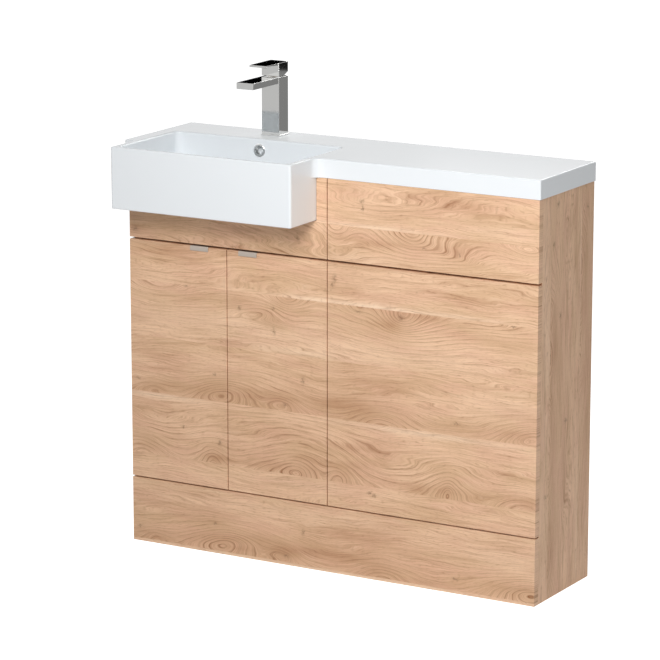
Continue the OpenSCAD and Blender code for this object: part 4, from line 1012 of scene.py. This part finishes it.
class VANITY_OT_handles(bpy.types.Operator):
    """Builds the two edge handles"""

    bl_idname = "vanity.handles"
    bl_label = "Handles"

    def execute(self, context):
        corner = context.scene.vanity_sizes.lip_corner
        for node in ("left_handle", "right_handle"):
            bm = merged(node)
            # The lip's two lower corners are rounded first, then all the other edges are broken
            lip = [
                e
                for e in bm.edges
                if all(v.co.z < LIP["below"] * MM and v.co.y < LIP["before"] * MM for v in e.verts)
                and abs(e.verts[0].co.x - e.verts[1].co.x) < SAME
                and e.calc_length() > 1.0 * MM
            ]
            if len(lip) < 2:
                raise RuntimeError(f"{node} has no lip")
            bevel(bm, lip, corner, 4)
            round_edges(bm, 0.25, 2, 1.6)
            placed(bm, node, "nickel")
        return {"FINISHED"}


class VANITY_OT_hinges(bpy.types.Operator):
    """Builds the concealed hinges"""

    bl_idname = "vanity.hinges"
    bl_label = "Hinges"

    def execute(self, context):
        radius = context.scene.vanity_sizes.metal_edge
        cups_and_links = ("left_hinge_cups", "right_hinge_cups", "left_hinge_links", "right_hinge_links")
        for node in (*cups_and_links, "hinge_arms", "hinge_plates"):
            softened(node, radius, 2, 1.4, "zinc")
        return {"FINISHED"}


class VANITY_OT_fixings(bpy.types.Operator):
    """Builds the screws, bolts, cams, dowels, brackets and small plastic parts"""

    bl_idname = "vanity.fixings"
    bl_label = "Fixings"

    def execute(self, context):
        fasteners("cabinet_fasteners", "pan")
        fasteners("left_door_fasteners", "pan")
        fasteners("right_door_fasteners", "pan")
        fasteners("joining_bolts", "bolt")
        softened("cam_bolts", 0.2, 1, 50, "zinc")
        softened("cam_locks", 0.2, 1, 0.4, "zinc")
        softened("dowels", 0.5, 2, 0.4, "beech")
        softened("angle_brackets", 0.25, 2, 3, "zinc")
        softened("shelf_pins", 0.4, 2, 0.4, "zinc")
        softened("fascia_spacers", 0.15, 1, 50, "nylon")
        softened("panel_studs", 0.4, 2, 0.4, "nylon")
        softened("left_door_buffers", 0.4, 2, 0.4, "white")
        softened("right_door_buffers", 0.4, 2, 0.4, "white")
        return {"FINISHED"}


class VANITY_OT_waste(bpy.types.Operator):
    """Builds the waste, its plug and the overflow ring"""

    bl_idname = "vanity.waste"
    bl_label = "Waste and overflow"

    def execute(self, context):
        softened("waste_body", 0.5, 2, 2.0, "chrome")
        softened("waste_nut", 0.8, 2, 5.0, "chrome")
        low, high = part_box("waste_plug")
        top, foot = high.z / MM, low.z / MM
        centre = (WASTE["x"], WASTE["y"], 0)
        # A guide stem, a disc with a groove for its seal, and a slightly domed top
        plug = [(0, foot), (3.4, foot), (4, foot + 0.6)]
        plug += [(4, top - 4.0), (23.5, top - 4.0), (23.5, top - 2.5), (26.5, top - 2.5), (26.5, top - 4.0)]
        plug += [(28.4, top - 4.0), (28.85, top - 3.8), (29, top - 3.4), (28.9, top - 2.5), (28.3, top - 1.7)]
        plug += [(26.5, top - 1.0), (22, top - 0.5), (14, top - 0.15), (6, top), (0, top)]
        placed(lathe(plug, centre, steps=96), "waste_plug", "chrome")
        softened("plug_seal", 0.3, 2, 1.0, "rubber")
        softened("rubber_washers", 0.3, 1, 50, "rubber")
        # A sleeve in the overflow's bore, with a rounded flange on the bowl's wall
        ring = [(9, 8.0), (9, -1.2), (9.4, -1.8), (10.4, -2.0), (12.8, -1.9), (13.9, -1.5)]
        ring += [(14.4, -0.8), (14.5, 0.0), (11, 0.0), (11, 8.0), (9, 8.0)]
        place = (OVERFLOW["x"], OVERFLOW["y"], OVERFLOW["z"])
        placed(lathe(ring, place, axis="Y", steps=96), "overflow_ring", "chrome")
        return {"FINISHED"}


class VANITY_OT_tap(bpy.types.Operator):
    """Builds the square lever tap"""

    bl_idname = "vanity.tap"
    bl_label = "Tap"

    def execute(self, context):
        radius = context.scene.vanity_sizes.tap_edge
        softened("tap_body", radius, 3, 6, "chrome")
        softened("tap_spout", radius, 3, 6, "chrome")
        softened("tap_foot", 0.6, 3, 5, "chrome")
        softened("tap_lever", radius, 3, 6, "chrome")
        softened("tap_aerator", 0.15, 1, 50, "zinc")
        softened("tap_cartridge", 0.2, 1, 50, "ivory")
        softened("tap_cartridge_nut", 0.3, 2, 1.0, "brass")
        softened("tap_rotor", 0.2, 1, 50, "ivory")
        softened("tap_stem", 0.2, 1, 4, "chrome")
        softened("tap_lever_screw", 0.2, 1, 50, "zinc")
        softened("tap_stud", 0.4, 2, 0.3, "zinc")
        softened("tap_shoe", 0.25, 2, 1.5, "zinc")
        softened("tap_nut", 0.5, 2, 4, "brass")
        return {"FINISHED"}


# Lamps: name, strength, place, aim, width and height, in metres
LAMPS = (
    ("Softbox", "key", (0.8, -2.10, 2.0), (0.1, 0, 0.6), (1.2, 1.0)),
    ("Side light", "side", (2.2, 0.0, 0.55), (0.5, 0.05, 0.45), (0.8, 0.8)),
    ("Back light", "back", (-0.15, 1.6, 1.72), (-0.2, 0, 0.9), (1.2, 0.6)),
)
# Cards that only mirror in the chrome: name, x and z of two corners, y, all in metres, and grey
CARDS = (
    ("Card_over_tap", (-0.75, 1.085), (-0.3, 1.3), 0.55, 0.0),
    ("Card_beside_lever", (0.15, 0.897), (0.5, 0.96), 1.0, 0.012),
    ("Card_beside_tap", (0.15, 0.64), (0.5, 0.897), 1.0, 0.27),
    ("Card_at_corner", (1.1, 0.30), (1.8, 0.72), -0.85, 0.0),
)
# How strongly the floor glows for each kind of ray, so that it meets the white room and keeps the shadow
FLOOR_GLOW = (("Is Camera Ray", 1.0), ("Is Glossy Ray", 0.55), ("Is Diffuse Ray", 0.08))
# The photo's view: place in metres, tilt and turn in degrees
EYE = {"place": (3.5316, -6.1392, 2.1400), "tilt": 77.128, "turn": 30.166}


class VANITY_OT_stage(bpy.types.Operator):
    """Sets the floor, the light and the camera"""

    bl_idname = "vanity.stage"
    bl_label = "Stage"

    def execute(self, context):
        stage = context.scene.vanity_stage
        scene = context.scene
        bm = bmesh.new()
        bmesh.ops.create_grid(bm, x_segments=1, y_segments=1, size=14.0)
        floor = as_object(bm, "Floor")
        # Rolled paper: pale and dead matt
        paper = {
            "Base Color": (0.72, 0.72, 0.72, 1),
            "Roughness": 0.9,
            "Specular IOR Level": 0.0,
            "Emission Color": (1, 1, 1, 1),
        }
        material, tree, shader = surface("Pale studio floor", paper)
        glow = 0.0
        for kind, strength in FLOOR_GLOW:
            ray = add(tree, "ShaderNodeLightPath", out=kind)
            glow = add(tree, "ShaderNodeMath", (ray, strength, glow), operation="MULTIPLY_ADD")
        tree.links.new(glow, shader.inputs["Emission Strength"])
        floor.data.materials.append(material)

        for name, low, high, back, level in CARDS:
            bm = bmesh.new()
            corners = (low, (high[0], low[1]), high, (low[0], high[1]))
            bm.faces.new([bm.verts.new((x, back, z)) for x, z in corners])
            card = as_object(bm, name)
            # A card that glows one even grey, or is black, and is seen only in reflections: it sets the tones
            # the chrome mirrors
            grey = {
                "Base Color": (0, 0, 0, 1),
                "Specular IOR Level": 0.0,
                "Emission Color": (level, level, level, 1),
                "Emission Strength": 1.0,
            }
            card.data.materials.append(surface(name + " grey", grey)[0])
            card.visible_camera = False
            card.visible_diffuse = False
            card.visible_shadow = False
            card.visible_transmission = False

        world = bpy.data.worlds.new("White room")
        scene.world = world
        world.use_nodes = True
        tree = world.node_tree
        tree.nodes.clear()
        seen = 0.0
        for kind in ("Is Camera Ray", "Is Glossy Ray", "Is Transmission Ray"):
            ray = add(tree, "ShaderNodeLightPath", out=kind)
            seen = add(tree, "ShaderNodeMath", (seen, ray), operation="MAXIMUM")
        room = add(tree, "ShaderNodeBackground", {"Color": (1, 1, 1, 1), "Strength": stage.fill})
        white = add(tree, "ShaderNodeBackground", {"Color": (1, 1, 1, 1), "Strength": 1.0})
        both = add(tree, "ShaderNodeMixShader", (seen, room, white))
        end = tree.nodes.new("ShaderNodeOutputWorld")
        tree.links.new(both, end.inputs["Surface"])

        for name, strength, place, aim, size in LAMPS:
            light = bpy.data.lights.new(name, "AREA")
            light.shape = "RECTANGLE"
            light.size, light.size_y = size
            light.energy = getattr(stage, strength)
            lamp = bpy.data.objects.new(name, light)
            lamp.location = place
            lamp.rotation_euler = (Vector(aim) - Vector(place)).to_track_quat("-Z", "Y").to_euler()
            scene.collection.objects.link(lamp)

        camera = bpy.data.cameras.new("Camera")
        camera.lens = stage.lens
        camera.sensor_width = 36
        camera.clip_end = 60
        eye = bpy.data.objects.new("Camera", camera)
        eye.location = EYE["place"]
        eye.rotation_euler = (math.radians(EYE["tilt"]), 0, math.radians(EYE["turn"]))
        scene.collection.objects.link(eye)
        scene.camera = eye
        scene.view_settings.view_transform = "Standard"
        return {"FINISHED"}


class VANITY_PT_panel(bpy.types.Panel):
    """Lists the steps in the order in which they are run"""

    bl_idname = "VANITY_PT_panel"
    bl_label = "Vanity unit"
    bl_space_type = "VIEW_3D"
    bl_region_type = "UI"
    bl_category = "Vanity"

    def draw(self, context):
        for step in STEPS:
            self.layout.operator(step.bl_idname)
        for name, group in GROUPS:
            for key in group.__annotations__:
                self.layout.prop(getattr(context.scene, name), key)


STEPS = (
    VANITY_OT_boards,
    VANITY_OT_top,
    VANITY_OT_handles,
    VANITY_OT_hinges,
    VANITY_OT_fixings,
    VANITY_OT_waste,
    VANITY_OT_tap,
    VANITY_OT_stage,
)
GROUPS = (
    ("vanity_finishes", VanityFinishes),
    ("vanity_sizes", VanitySizes),
    ("vanity_stage", VanityStage),
)


def register():
    for name, group in GROUPS:
        bpy.utils.register_class(group)
        setattr(bpy.types.Scene, name, bpy.props.PointerProperty(type=group))
    for step in STEPS:
        bpy.utils.register_class(step)
    bpy.utils.register_class(VANITY_PT_panel)


def unregister():
    bpy.utils.unregister_class(VANITY_PT_panel)
    for step in reversed(STEPS):
        bpy.utils.unregister_class(step)
    for name, group in reversed(GROUPS):
        delattr(bpy.types.Scene, name)
        bpy.utils.unregister_class(group)


def main():
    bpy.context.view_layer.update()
    register()
    bpy.ops.vanity.boards()
    bpy.ops.vanity.top()
    bpy.ops.vanity.handles()
    bpy.ops.vanity.hinges()
    bpy.ops.vanity.fixings()
    bpy.ops.vanity.waste()
    bpy.ops.vanity.tap()
    bpy.ops.vanity.stage()


if __name__ == "__main__":
    main()
